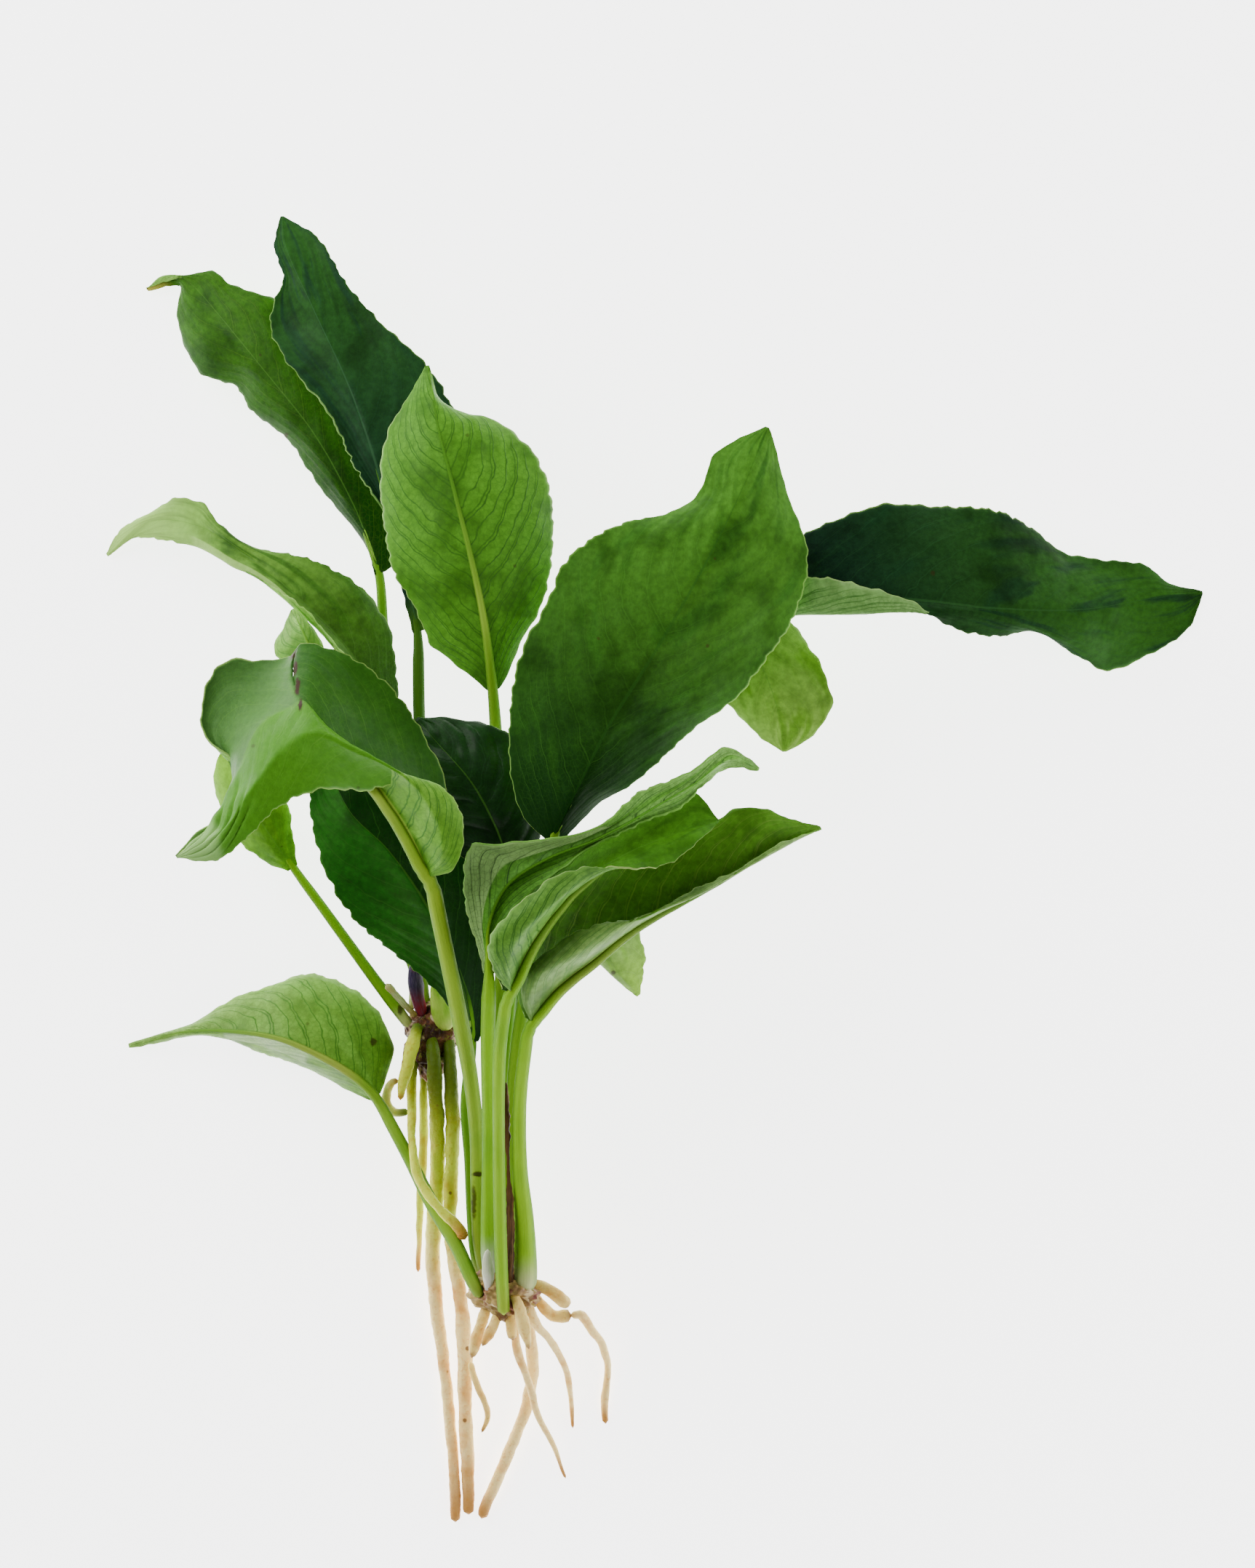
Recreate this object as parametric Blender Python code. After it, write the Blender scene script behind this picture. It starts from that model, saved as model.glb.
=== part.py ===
"""An anubias, bare-root, lying on a flat surface.

The plant is described as it is seen from straight above by an eye at EYE_HEIGHT:
x to the right and y up the picture, both in millimetres at the floor, and z the height above the floor.
"""
import math

import bmesh
import bpy
from mathutils import Vector

MM = 0.001
EYE_HEIGHT = 2000.0          # the height that the plan is seen from, mm
CENTRE = (7.3, -23.9)        # the plan point that stands over the origin, mm
BLADE_THICKNESS = 1.0        # mm
GAP = 0.3                    # left between pieces that touch, mm
BASE_WIDTH = 3.2             # a blade where its stalk meets it, mm
TIP_WIDTH = 0.9              # a blade at its very tip, mm
STALK_STEP = 13.0            # along a stalk or root between its rings, mm
STALK_END_ROOM = 0.9         # from a blade's base to its stalk's end, mm
BLADE_STATIONS = 10          # along a blade
BLADE_STRIPS = 6             # across a blade
KNOBS = (0.07, 0.06)         # how far a rhizome's two sets of knobs stand out, as a part of its size
KNOB_WAVES = (5, 3, 9)       # how close the knobs stand: the first set's two ways, then the second set
RHIZOME_AROUND = 14          # faces around a rhizome
RHIZOME_DOWN = 8             # faces from its top to its bottom
SOCKET_REACH = 3.0           # how near a rhizome a stalk or root counts as growing from it, mm
ROUTE_STEPS = 24             # places along a route that are tried for that
WELD = 1e-6                  # corners nearer than this are one corner, m
LEAF_ROUGHNESS = 0.4
STALK_ROUGHNESS = 0.45
ROOT_ROUGHNESS = 0.6         # also of the stubs and sheaths
RHIZOME_ROUGHNESS = 0.7

# Colours, as linear red, green and blue.
LEAF_GREEN = (0.07, 0.20, 0.03)
STALK_GREEN = (0.28, 0.50, 0.10)
ROOT_CREAM = (0.75, 0.62, 0.38)
RHIZOME_BROWN = (0.30, 0.20, 0.12)
SHEATH_COLOURS = {
    "sheath_purple": (0.05, 0.04, 0.09),
    "bud_green": (0.35, 0.55, 0.12),
    "stalk_broken": (0.22, 0.14, 0.08),
    "sheath_brown": (0.16, 0.09, 0.05),
    "sheath_pale": (0.80, 0.72, 0.66),
}
BLADE_COLOURS = {
    "blade_back_left": (0.12, 0.30, 0.03),
    "blade_back_dark": (0.02, 0.07, 0.04),
    "blade_middle": (0.11, 0.34, 0.04),
    "blade_far_right": (0.02, 0.09, 0.03),
    "blade_small_yellow": (0.16, 0.36, 0.03),
    "blade_dark_left": (0.01, 0.08, 0.01),
    "blade_wrinkled": (0.01, 0.05, 0.01),
    "blade_lower_left": (0.20, 0.43, 0.08),
    "blade_small_left": (0.15, 0.37, 0.03),
}
# Blades. Every line runs from the stalk to the tip, and left and right are as seen from above.
# left and right are the edges between the two ends. left_belly and right_belly are the lines halfway
# from the midrib to an edge, given where a half is rolled or folded, and cup bends a plain half instead.
BLADES = {
    "blade_back_left": dict(
        mid=[(-68, 58, 24), (-75, 76, 25), (-86, 96, 24), (-101, 115, 20), (-114, 131, 12), (-122, 139, 6),
             (-128, 139.5, 2.5), (-132, 136, 0.9)],
        left=[(-71, 64, 22), (-80, 76, 19), (-91, 92, 17), (-103, 103, 13), (-107, 110, 11),
              (-117, 113, 7), (-122, 121, 4), (-123.5, 130, 3), (-122.5, 137, 4)],
        right=[(-64, 61, 23), (-64, 76, 22), (-72, 95, 20), (-83, 115, 17), (-96, 132, 15),
               (-108, 136.5, 11), (-114, 141, 8), (-121, 140, 6.2)],
        cup=1.5),
    "blade_back_dark": dict(
        mid=[(-57.5, 42, 34), (-62, 62, 37), (-68, 84, 37), (-76, 108, 33), (-87, 132, 26), (-94, 148, 19),
             (-95, 156, 15)],
        left=[(-61, 50, 35), (-67, 75, 37), (-75, 88, 36), (-83, 103, 33), (-94, 117, 28), (-98, 125, 24),
              (-97, 133, 23), (-94.5, 139, 22), (-97, 148, 18)],
        right=[(-52, 50, 33), (-47, 75, 32), (-45, 95, 31), (-48, 103, 30), (-53, 112, 29), (-60, 120, 28),
               (-66, 125, 27), (-77, 137, 24), (-85, 150, 19)],
        cup=-1.5),
    "blade_middle": dict(
        mid=[(-37, 26, 50), (-39.5, 45, 55), (-43, 62, 58), (-47.5, 80, 58), (-52, 98, 55),
             (-55, 115, 49)],
        left=[(-43, 30, 50), (-51, 36, 50), (-54, 38, 50), (-59, 50, 50), (-64, 60, 49), (-68, 80, 48),
              (-66, 95, 48), (-60, 107, 48)],
        right=[(-33, 30, 50), (-29, 40, 50), (-24, 50, 49), (-20.5, 66, 47), (-21.5, 80, 46),
               (-28, 93, 46), (-38, 101, 47), (-44, 102, 49), (-52, 106, 49)],
        cup=2.5, under_up=True),
    "blade_big_front": dict(
        mid=[(-21, -16, 64), (-14, -2, 71), (-5, 16, 75), (8, 37, 76), (20, 58, 72), (31, 80, 64),
             (38.5, 98, 54)],
        left=[(-29, -8, 62), (-32.5, 10, 62), (-32, 25, 62), (-28, 38, 62), (-22, 50, 62), (-18, 60, 61),
              (-10, 67, 60), (0, 71.5, 59), (12, 75, 58), (20, 80, 57), (24, 90, 55), (31, 95, 54)],
        right=[(-14, -11, 60), (-7, -5, 59), (0, -1, 58), (9, 8, 57), (18, 15, 56), (28, 22, 55),
               (37, 34, 54), (45, 44, 53), (48.5, 55, 52), (48.5, 65, 52), (45, 77, 52), (41, 91, 52)],
        cup=2.0),
    "blade_far_right": dict(
        mid=[(33, 46, 34), (48, 50, 40), (65, 51, 43), (84, 50, 42), (104, 48, 35), (125, 48, 23),
             (144, 51, 8), (158, 52.5, 0.5)],
        left=[(35, 58, 33), (49, 69, 33), (60, 73.5, 32), (72, 76.5, 30), (86, 76.5, 27), (100, 75, 23),
              (111, 70, 17), (120, 63.5, 12), (132, 61, 7), (142, 60, 3), (149, 55, 1.2)],
        right=[(36, 49, 40), (46, 56, 47), (55, 56.5, 49), (66, 54, 49), (76, 51, 47), (83, 47, 44),
               (90, 43, 38), (102, 41, 31), (113, 41.5, 25), (124, 36, 14), (132, 31, 5), (142, 35, 2),
               (154, 43, 0.8)],
        right_belly=[(36, 46, 39), (50, 47, 45), (70, 47, 47), (84, 47, 44), (95, 46, 39), (108, 44, 32),
                     (124, 41, 21), (138, 43, 9.5), (152, 48, 2.5)],
        cup=1.0),
    "blade_small_yellow": dict(
        mid=[(22, 58, 25), (31, 45, 28), (38, 30, 27), (42, 18, 22), (43, 9, 16)],
        left=[(34, 60, 23), (46, 44, 23), (52, 34, 23), (55.8, 24, 21.5), (54.7, 19, 20), (51.3, 14, 18),
              (47, 10.6, 16.5)],
        right=[(18, 48, 23), (20, 34, 22), (25, 24.5, 21), (30, 19.5, 20), (36, 13.8, 18),
               (40.5, 10.6, 16.5)],
        cup=1.0),
    "blade_long_left": dict(
        mid=[(-67, 12, 29), (-70, 26, 34), (-79, 40, 38), (-92, 53, 37), (-105, 63, 30), (-118, 71, 20),
             (-132, 72, 9), (-143, 63, 0.9)],
        left=[(-72, 18, 34), (-76, 33, 43), (-84, 43, 45), (-93, 51, 42), (-104, 58, 34), (-114, 63, 22),
              (-126, 67, 12), (-137, 67.5, 4)],
        left_belly=[(-72, 20, 40), (-79, 35, 45), (-87, 45, 44), (-98, 55, 38), (-109, 61, 29),
                    (-120, 67, 18), (-133, 69, 7)],
        right=[(-63, 18, 28), (-64.5, 35, 30), (-66, 44, 31), (-72, 53, 31), (-80, 58, 31), (-90, 62, 30),
               (-104, 66, 29), (-112, 71, 24), (-117, 77, 19), (-124, 78.5, 15), (-131, 75, 9),
               (-139, 70, 3)],
        cup=1.0),
    "blade_small_curled": dict(
        mid=[(-84, 28, 47), (-86, 35, 50), (-89, 42, 50), (-92, 48, 46)],
        left=[(-89, 31, 46), (-96, 36, 42), (-94, 43, 42)],
        right=[(-82, 32, 48), (-83.5, 38, 50), (-87, 44, 49)],
        cup=0.6, under_up=True),
    "blade_folded_front": dict(
        mid=[(-54, -25, 84), (-58, -17, 87), (-64, -7, 89), (-72, 3, 90), (-81, 13, 90),
             (-88.3, 22.4, 88.5), (-89.9, 22.9, 87.5), (-91.8, 21.8, 86), (-101, 16, 78), (-108, 2, 74),
             (-115, -11, 74), (-124, -20, 73)],
        right=[(-53, -18, 74), (-50, -8, 68), (-50, 2, 67), (-55, 12, 68), (-60, 20, 69), (-67, 28, 70),
               (-76, 34.5, 71), (-85, 38.4, 72), (-89.9, 38.8, 71.5), (-91.8, 37, 69.5), (-93.6, 34.7, 66),
               (-100, 33.9, 63.5), (-107, 34.5, 61), (-114, 31, 59), (-117, 20, 60), (-115, 13, 62),
               (-108, 7, 66), (-106, -2, 69), (-111, -9, 71), (-118, -13, 72)],
        right_belly=[(-54, -19, 80), (-54.5, -10, 78), (-58, -2, 77.5), (-64, 8, 77), (-71.5, 17.5, 77),
                     (-79, 25.5, 78), (-86.5, 31, 79.5), (-90.7, 30.8, 78), (-92.5, 29.5, 76),
                     (-100, 26, 66), (-107.5, 22, 61.5), (-111.5, 13.5, 62), (-109, 5, 65),
                     (-107.5, -4, 68), (-113, -12, 71)],
        left=[(-48, -23, 89), (-45, -15, 93), (-46, -7, 95), (-52, -1, 96), (-62, 1, 95), (-72, -1, 91),
              (-80, -1, 89), (-88, -2.5, 88), (-97, -7, 85), (-104, -14, 81), (-113, -21, 78)],
        left_belly=[(-51, -20, 92), (-52, -11, 97), (-57, -2, 100), (-65, 4.5, 101), (-75, 9.5, 100),
                    (-86, 14, 98), (-95, 9, 91), (-104, -2, 86), (-112, -13, 80)],
        cup=1.0),
    "blade_dark_left": dict(
        mid=[(-42.5, -71, 37), (-44.3, -60, 41), (-48, -48, 43.5), (-56, -32, 46), (-66, -18, 45),
             (-76, -8, 41), (-82, 4, 36)],
        left=[(-46, -66, 35), (-50, -59.5, 35), (-57, -52, 36), (-66, -45, 37), (-75, -37, 38),
              (-82, -26, 38), (-86, -14, 37), (-87, -2, 35)],
        right=[(-39.6, -66, 36), (-38.4, -58, 37.5), (-38.3, -38, 38.5), (-44, -20, 40), (-55, -6, 40),
               (-68, 3, 38)],
        cup=-1.5),
    "blade_wrinkled": dict(
        mid=[(-32, -24, 47), (-37, -10, 52), (-44, 2, 54), (-52, 11, 51), (-58, 18, 47)],
        left=[(-41, -22, 45), (-52, -14, 46), (-60, -2, 47), (-61, 10, 46)],
        right=[(-24, -14, 48), (-24, 0, 49), (-31, 11, 50), (-39, 16, 50), (-49, 18.5, 49)],
        cup=2.0),
    "blade_rolled": dict(
        mid=[(-38, -52, 74), (-38, -39, 77), (-33, -28, 79), (-22, -20.5, 80), (-8, -14.5, 80),
             (6, -7, 78), (18, 0, 74), (28, 7, 68), (36, 4, 61)],
        left=[(-41, -45, 75), (-44, -36, 77), (-45, -25, 79), (-43, -17, 80), (-36, -17, 82),
              (-26, -16.3, 83), (-15, -13.5, 83), (-6, -10, 82), (3, -3, 80), (11, 0, 78), (18, 4, 75),
              (26, 10, 69), (32, 8, 65)],
        right=[(-36, -45, 76), (-32.5, -36.5, 78), (-25.5, -28.5, 79), (-16, -22.3, 79.5), (-7, -15.7, 79),
               (4, -10.5, 77.5), (14, -7, 74), (21, 0, 71), (28, 4.5, 66)],
        cup=-1.5, under_up=True),
    "blade_folded_right": dict(
        mid=[(-33, -57, 81), (-29, -48, 84), (-23, -38, 85), (-14, -28, 84), (-2, -20, 81), (12, -14, 76),
             (25, -10, 70)],
        left=[(-36, -50, 70), (-35, -38, 66), (-26, -26, 66), (-14, -16, 67), (0, -8, 68), (10, -3, 68),
              (18, -2, 67)],
        right=[(-36.5, -51, 89), (-38.3, -44, 94), (-35, -38, 96), (-27, -31, 97), (-18, -25, 96),
               (-8, -23, 91), (3, -23.3, 86), (12, -21.5, 81), (19, -16, 77)],
        right_belly=[(-33, -50, 90), (-30, -42, 96), (-22, -34, 98), (-13, -27, 94), (-3, -22.5, 87),
                     (8, -19, 82), (18, -13.5, 76)],
        cup=-2.5),
    "blade_right": dict(
        mid=[(-27, -65, 66), (-20, -56.5, 70), (-11, -49, 71), (-2, -42, 70), (10, -34.5, 67),
             (25, -27, 62), (40, -18, 55), (53, -12, 46)],
        left=[(-30, -58, 60), (-30, -45, 57), (-20, -32, 57), (-5, -21, 58), (10, -14, 58), (24, -10, 57),
              (31, -6.5, 56), (38, -7, 54), (45, -10, 50)],
        right=[(-29, -59, 72), (-28.5, -52, 78), (-22, -46, 81), (-13, -41, 81), (-4, -38, 79),
               (4, -36, 75), (13, -32.5, 71), (27, -25.5, 66), (41, -17, 58.5)],
        right_belly=[(-27, -59, 74), (-22, -52, 80), (-13, -46, 82), (-4, -41, 79), (8, -35, 74),
                     (25, -27.5, 67), (40, -18.5, 59)],
        cup=1.0),
    "blade_hanging": dict(
        mid=[(-12, -33, 44), (-8, -42, 46), (-3, -51, 38), (3, -58, 28)],
        left=[(-2, -33, 40), (3, -41, 38), (4, -49, 33)],
        right=[(-16, -40, 41), (-10, -47, 38), (-3, -54, 31)],
        cup=0.5),
    "blade_lower_left": dict(
        mid=[(-69, -86, 18), (-75, -80.5, 21), (-84, -75, 23), (-96, -70, 22), (-110, -68, 15),
             (-122, -68.3, 8), (-137, -72, 0.9)],
        right=[(-66.5, -81, 15), (-64.5, -73, 13), (-69, -63, 12), (-77, -56, 11), (-88, -52, 10),
               (-98, -55.5, 10), (-108, -60, 9), (-118, -65.5, 7), (-127, -68, 4)],
        left=[(-74, -85, 15), (-85, -80, 11), (-97, -74, 9), (-110, -70.5, 7), (-122, -69.5, 5)],
        cup=2.0, under_up=True),
    "blade_small_left": dict(
        mid=[(-92, -23, 15), (-97, -16, 18), (-103, -7, 19), (-108, 1, 16), (-111, 9, 11)],
        left=[(-98, -22, 13), (-105, -16, 11), (-111, -8, 9), (-114, 0, 9), (-113, 6, 10)],
        right=[(-92, -16, 16), (-93, -6, 18), (-98, 4, 18), (-105, 9, 14)],
        cup=0.8),
}

# Stalks and roots: the points that each follows, as x, y, z and the radius there.
STALKS = {
    "stalk_back_left": [(-55.5, -62, 12.5, 1.5), (-57.5, -45, 15, 1.5), (-60.5, -20, 21, 1.5),
                        (-65.5, 20, 21.5, 1.4), (-68, 58, 24, 1.3)],
    "stalk_back_dark": [(-51, -62, 12.5, 1.6), (-52.5, -45, 17, 1.7), (-56, -15, 25, 1.7),
                        (-57.3, 20, 31, 1.6), (-57.5, 42, 34, 1.5)],
    "stalk_middle": [(-35.3, -135, 25, 1.5), (-36, -90, 32, 1.7), (-34.5, -45, 37, 1.7),
                     (-34.5, -10, 43, 1.6), (-36, 12, 47.5, 1.6), (-37, 26, 50, 1.5)],
    "stalk_big_front": [(-32, -135, 26, 2.0), (-32.3, -105, 31, 1.9), (-30.5, -75, 37, 1.9),
                        (-26, -45, 48, 1.8), (-21, -16, 64, 1.7)],
    "stalk_far_right": [(-29.5, -135, 19, 1.7), (-31, -95, 18.5, 1.6), (-30, -66, 20, 1.6),
                        (-26, -40, 22, 1.6), (-20, -14, 24, 1.6), (-8, 10, 27, 1.6), (12, 32, 31, 1.5),
                        (33, 46, 34, 1.5)],
    "stalk_small_yellow": [(-33.5, -134, 17, 1.3), (-34.5, -95, 17, 1.2), (-32, -60, 18, 1.2),
                           (-24, 0, 20, 1.2), (-7, 45, 23, 1.2), (10, 60, 25, 1.1), (22, 58, 25, 1.0)],
    "stalk_long_left": [(-57, -63, 8.5, 1.4), (-58.5, -50, 9, 1.5), (-64, -30, 14, 1.6), (-69, 0, 23, 1.6),
                        (-67, 12, 29, 1.5)],
    "stalk_small_curled": [(-59.2, -62.5, 14, 1.0), (-59.5, -50, 18, 1.0), (-68, -36, 17, 1.0),
                           (-78, -15, 19, 1.0), (-86, 5, 27, 0.9), (-84, 28, 47, 0.9)],
    "stalk_folded_front": [(-38.5, -138, 24, 1.6), (-40.8, -126, 26, 1.7), (-41.3, -112, 30, 1.8),
                           (-41.5, -97, 37, 1.9), (-43, -82, 47, 2.0), (-46, -65, 61, 2.2),
                           (-49.5, -48, 73, 2.1), (-52.6, -33, 81, 2.1), (-54, -25, 84, 2.0)],
    "stalk_dark_left": [(-40.2, -139, 18.5, 1.2), (-42.3, -126, 20, 1.4), (-43.5, -103, 26, 1.4),
                        (-44.5, -88, 30, 1.4), (-42.5, -71, 37, 1.4)],
    "stalk_wrinkled": [(-35, -134, 21, 1.4), (-35, -95, 23, 1.4), (-32, -60, 28, 1.3), (-30, -42, 35, 1.3),
                       (-32, -24, 47, 1.3)],
    "stalk_rolled": [(-37.6, -136, 29, 2.0), (-38.2, -128, 34, 2.1), (-38.1, -97, 47, 1.8),
                     (-38.4, -71, 62, 1.9), (-38, -52, 74, 1.9)],
    "stalk_folded_right": [(-34, -146, 32, 1.6), (-34.8, -129, 41, 1.7), (-35.4, -97, 56, 1.6),
                           (-35.1, -74, 70, 1.7), (-33, -57, 81, 1.7)],
    "stalk_right": [(-28.3, -140.3, 29, 1.6), (-28.1, -137.5, 29.5, 2.9), (-28, -133, 31, 3.1),
                    (-28.3, -120, 37, 2.5), (-29.6, -105, 44, 2.0), (-29.5, -86, 53.5, 1.8),
                    (-27, -65, 66, 1.7)],
    "stalk_hanging": [(-29.6, -133.5, 23, 1.1), (-29.3, -100, 27.5, 1.1), (-28.5, -68, 33, 1.0),
                      (-24, -42, 40, 0.9), (-17, -29.5, 44.5, 0.9), (-12, -33, 44, 0.9)],
    "stalk_lower_left": [(-40, -141.5, 28.5, 1.4), (-42.5, -137, 29.5, 1.8), (-47, -127, 26, 1.9),
                         (-54, -115, 22, 1.9), (-60, -103, 20, 1.7), (-65.3, -93, 18.8, 1.6),
                         (-69, -86, 18, 1.5)],
    "stalk_small_left": [(-59.5, -67, 15.5, 1.4), (-64, -61, 17, 1.6), (-70, -53, 17, 1.5),
                         (-78, -42, 17, 1.4), (-86, -31, 16, 1.3), (-92, -23, 15, 1.2)],
}
ROOTS = {
    "root_stubby": [(-57.7, -66.6, 19.8, 1.5), (-58.8, -70.5, 22, 1.8), (-60.2, -76, 22.5, 1.7),
                    (-61.8, -82, 21.5, 1.4), (-62.6, -87, 20, 0.7)],
    "root_knotted": [(-58.3, -72, 15, 1.4), (-59.1, -80, 16, 1.4), (-59.2, -90, 15.5, 1.3),
                     (-59.5, -97, 19.5, 1.1), (-58.8, -102.5, 23.5, 1.2), (-57.5, -107.9, 25.2, 1.3),
                     (-55.2, -111.9, 26.6, 1.3), (-51.9, -116.6, 28, 1.3), (-46.5, -122.3, 28, 1.5),
                     (-44.8, -125.2, 27, 1.6)],
    "root_left_long": [(-54, -70, 18.5, 1.5), (-53.3, -77, 21.5, 2.0), (-52.8, -88, 17.5, 2.1),
                       (-52.2, -100, 12.5, 2.1), (-52.4, -112, 9.5, 2.0), (-53.5, -125, 7.5, 2.1),
                       (-53, -140, 6, 1.9), (-51, -155, 4.5, 1.7), (-49.3, -170, 3, 1.6),
                       (-47.8, -186, 1.8, 1.6), (-47.3, -203, 1.5, 1.4)],
    "root_right_long": [(-49, -71, 17, 1.5), (-48.6, -80, 19.5, 1.9), (-48.2, -92, 16, 1.9),
                        (-48.4, -106, 13, 1.9), (-48.6, -126, 10, 1.8), (-46, -140, 8.5, 1.9),
                        (-44.9, -155, 7, 2.1), (-44.6, -170, 5, 2.0), (-44, -186, 3, 1.8),
                        (-43.6, -201, 1.7, 1.5)],
    "root_pale_inner": [(-56, -76, 10, 1.1), (-56, -90, 8, 1.2), (-56.2, -104, 5, 1.2),
                        (-57, -116, 3.5, 1.0), (-57.6, -134, 1.3, 0.6)],
    "root_loop": [(-29, -143, 18.5, 1.4), (-27, -151, 15, 1.6), (-26.2, -160, 10, 1.7),
                  (-27.3, -170, 6.5, 1.7), (-31, -180, 4.5, 1.6), (-35.2, -190, 3, 1.6),
                  (-38.5, -197, 2, 1.6), (-40.2, -202, 1.6, 1.4)],
    "root_right_thin": [(-32, -144, 20, 1.1), (-29.8, -157, 18, 1.2), (-26.5, -167, 13, 1.0),
                        (-24, -175, 9, 0.9), (-20, -183, 4.5, 0.7), (-17, -191, 1.2, 0.4)],
    "root_faint": [(-27.8, -141.5, 25.5, 1.5), (-26.3, -146.5, 25.5, 1.6), (-24.4, -149.5, 24, 1.3),
                   (-21.8, -152.3, 21, 1.1), (-19.2, -156, 17, 1.0), (-16.5, -162.7, 10, 0.9),
                   (-15.4, -170, 4, 0.7), (-15, -177, 1.2, 0.4)],
    "root_far_right": [(-14.6, -146.1, 16.9, 1.1), (-13, -146, 16.5, 1.3), (-11.2, -147.7, 15, 1.3),
                       (-9.5, -150.4, 12.5, 1.2), (-7.2, -153.7, 9, 1.1), (-5.8, -157.7, 5.5, 1.0),
                       (-5.5, -161, 3.2, 1.0), (-5.9, -165.5, 1.8, 1.0), (-6.3, -169, 1.3, 1.1),
                       (-6.1, -176, 1.0, 0.8)],
}
STUBS = {
    "stub_long": [(-38.3, -143, 23.5, 1.4), (-40.3, -149, 23.5, 1.6), (-42, -155, 23, 1.5),
                  (-42.9, -157.8, 22.8, 0.6)],
    "stub_pink_left": [(-35.6, -146, 26.2, 1.2), (-37.6, -150.5, 27.6, 1.5), (-40, -154.6, 28, 0.6)],
    "stub_pink_right": [(-32.6, -145.5, 26, 1.1), (-32, -149.5, 26.8, 1.4), (-31.5, -153, 27, 1.3)],
    "stub_pointed": [(-31.2, -141, 31.8, 1.1), (-29.8, -144.4, 32.5, 1.6), (-28.2, -150.4, 32.5, 1.7),
                     (-27, -155.4, 31.5, 0.5)],
    "stub_branch_upper": [(-25.5, -137.3, 23.5, 1.5), (-21, -139.6, 23.5, 1.8), (-17.6, -142.4, 22, 1.8),
                          (-16.3, -144, 21, 1.4)],
    "stub_branch_lower": [(-25.5, -140.8, 19.5, 1.3), (-22.4, -144.6, 18.2, 1.6), (-20, -146.3, 17.5, 1.6),
                          (-15.4, -146.3, 17, 1.9)],
    "rootlet_brown": [(-43, -160, 9.6, 0.9), (-41, -166, 9, 0.9), (-39, -171, 7, 0.9),
                      (-38.6, -175, 5, 0.8), (-40, -178.5, 3.5, 0.4)],
    "rootlet_hook": [(-61, -90.3, 13, 1.0), (-64, -90.3, 13, 1.3), (-66.2, -87.5, 13.5, 1.3),
                     (-66, -84, 14, 1.2), (-64.6, -82, 14.5, 1.0), (-62.8, -81.7, 15, 0.7)],
}
SHEATHS = {
    "sheath_purple": [(-56.5, -63, 17, 1.5), (-58.3, -55, 23, 2.2), (-58.6, -51, 26, 1.8),
                      (-58, -47.5, 28, 0.7)],
    "bud_green": [(-50.3, -66.5, 18, 2.6), (-50.8, -62.5, 22, 3.0), (-52.2, -58, 25, 2.2),
                  (-53.3, -54.5, 27, 0.7)],
    "stalk_broken": [(-58.6, -63.4, 18.5, 0.8), (-62, -60, 21.5, 0.9), (-66.5, -54.8, 22.5, 1.1)],
    "sheath_brown": [(-32, -137.5, 31.5, 0.8), (-32.3, -133.5, 34, 0.9), (-32.2, -124, 38, 1.1),
                     (-32.4, -113, 41.5, 0.9), (-32.9, -105, 44, 0.4), (-33.3, -98, 46.5, 0.8),
                     (-33.6, -88, 49.5, 0.9), (-33.6, -82, 51, 0.4)],
    "sheath_pale": [(-37.9, -139, 31.5, 1.2), (-38.4, -133.5, 35.8, 1.6), (-38.4, -128, 38.6, 0.6)],
}
# Rhizomes: centre, half sizes and the turn about the upright in degrees.
RHIZOMES = {
    "rhizome_upper": ((-53.5, -70, 13), (7.2, 11, 6.5), -10),
    "rhizome_crown": ((-33.5, -139.5, 24.5), (9.5, 7.5, 9.0), -15),
}


def point_on(points, t):
    """The place at t, from 0 to 1 of its length, on a smooth line through the points."""
    gaps = [(Vector(b[:3]) - Vector(a[:3])).length for a, b in zip(points, points[1:])]
    along = t * sum(gaps)
    i = 0
    while i < len(gaps) - 1 and along > gaps[i]:
        along -= gaps[i]
        i += 1
    s = along / gaps[i]

    def slope(j):
        lo, hi = max(j - 1, 0), min(j + 1, len(points) - 1)
        span = sum(gaps[lo:hi])
        return [(b - a) / span for a, b in zip(points[lo], points[hi])]

    a, b, da, db = points[i], points[i + 1], slope(i), slope(i + 1)
    h = (2 * s**3 - 3 * s**2 + 1, s**3 - 2 * s**2 + s, 3 * s**2 - 2 * s**3, s**3 - s**2)
    gap = gaps[i]
    return [h[0] * a[k] + h[1] * gap * da[k] + h[2] * b[k] + h[3] * gap * db[k] for k in range(len(a))]


def seen_at(x, y, z):
    """World place, in metres, of a point that the eye above sees at x, y of the plan."""
    shrink = 1 - z / EYE_HEIGHT
    return Vector((x * shrink - CENTRE[0], y * shrink - CENTRE[1], z)) * MM


def across(a, b, width):
    """Half a width, level and square to the way from a to b, to the left."""
    way = Vector((b[0] - a[0], b[1] - a[1]))
    way.normalize()
    return -way.y * width / 2, way.x * width / 2


def with_ends(line, mid, side, reach):
    """A line with its two ends on the blade's base and tip: side is 1 for left and -1 for right."""
    bx, by = across(mid[0], mid[1], BASE_WIDTH * side * reach)
    tx, ty = across(mid[-2], mid[-1], TIP_WIDTH * side * reach)
    base, tip = mid[0], mid[-1]
    return [(base[0] + bx, base[1] + by, base[2]), *line, (tip[0] + tx, tip[1] + ty, tip[2])]


def blade_lines(blade):
    """The lines that shape a blade, from its left edge to its right one; None stands for a plain belly."""
    mid = blade["mid"]
    lines = []
    for side, name in ((1, "left"), (-1, "right")):
        belly = blade.get(name + "_belly")
        lines.append((with_ends(blade[name], mid, side, 1.0),
                      with_ends(belly, mid, side, 0.5) if belly else None))
    return lines


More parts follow.
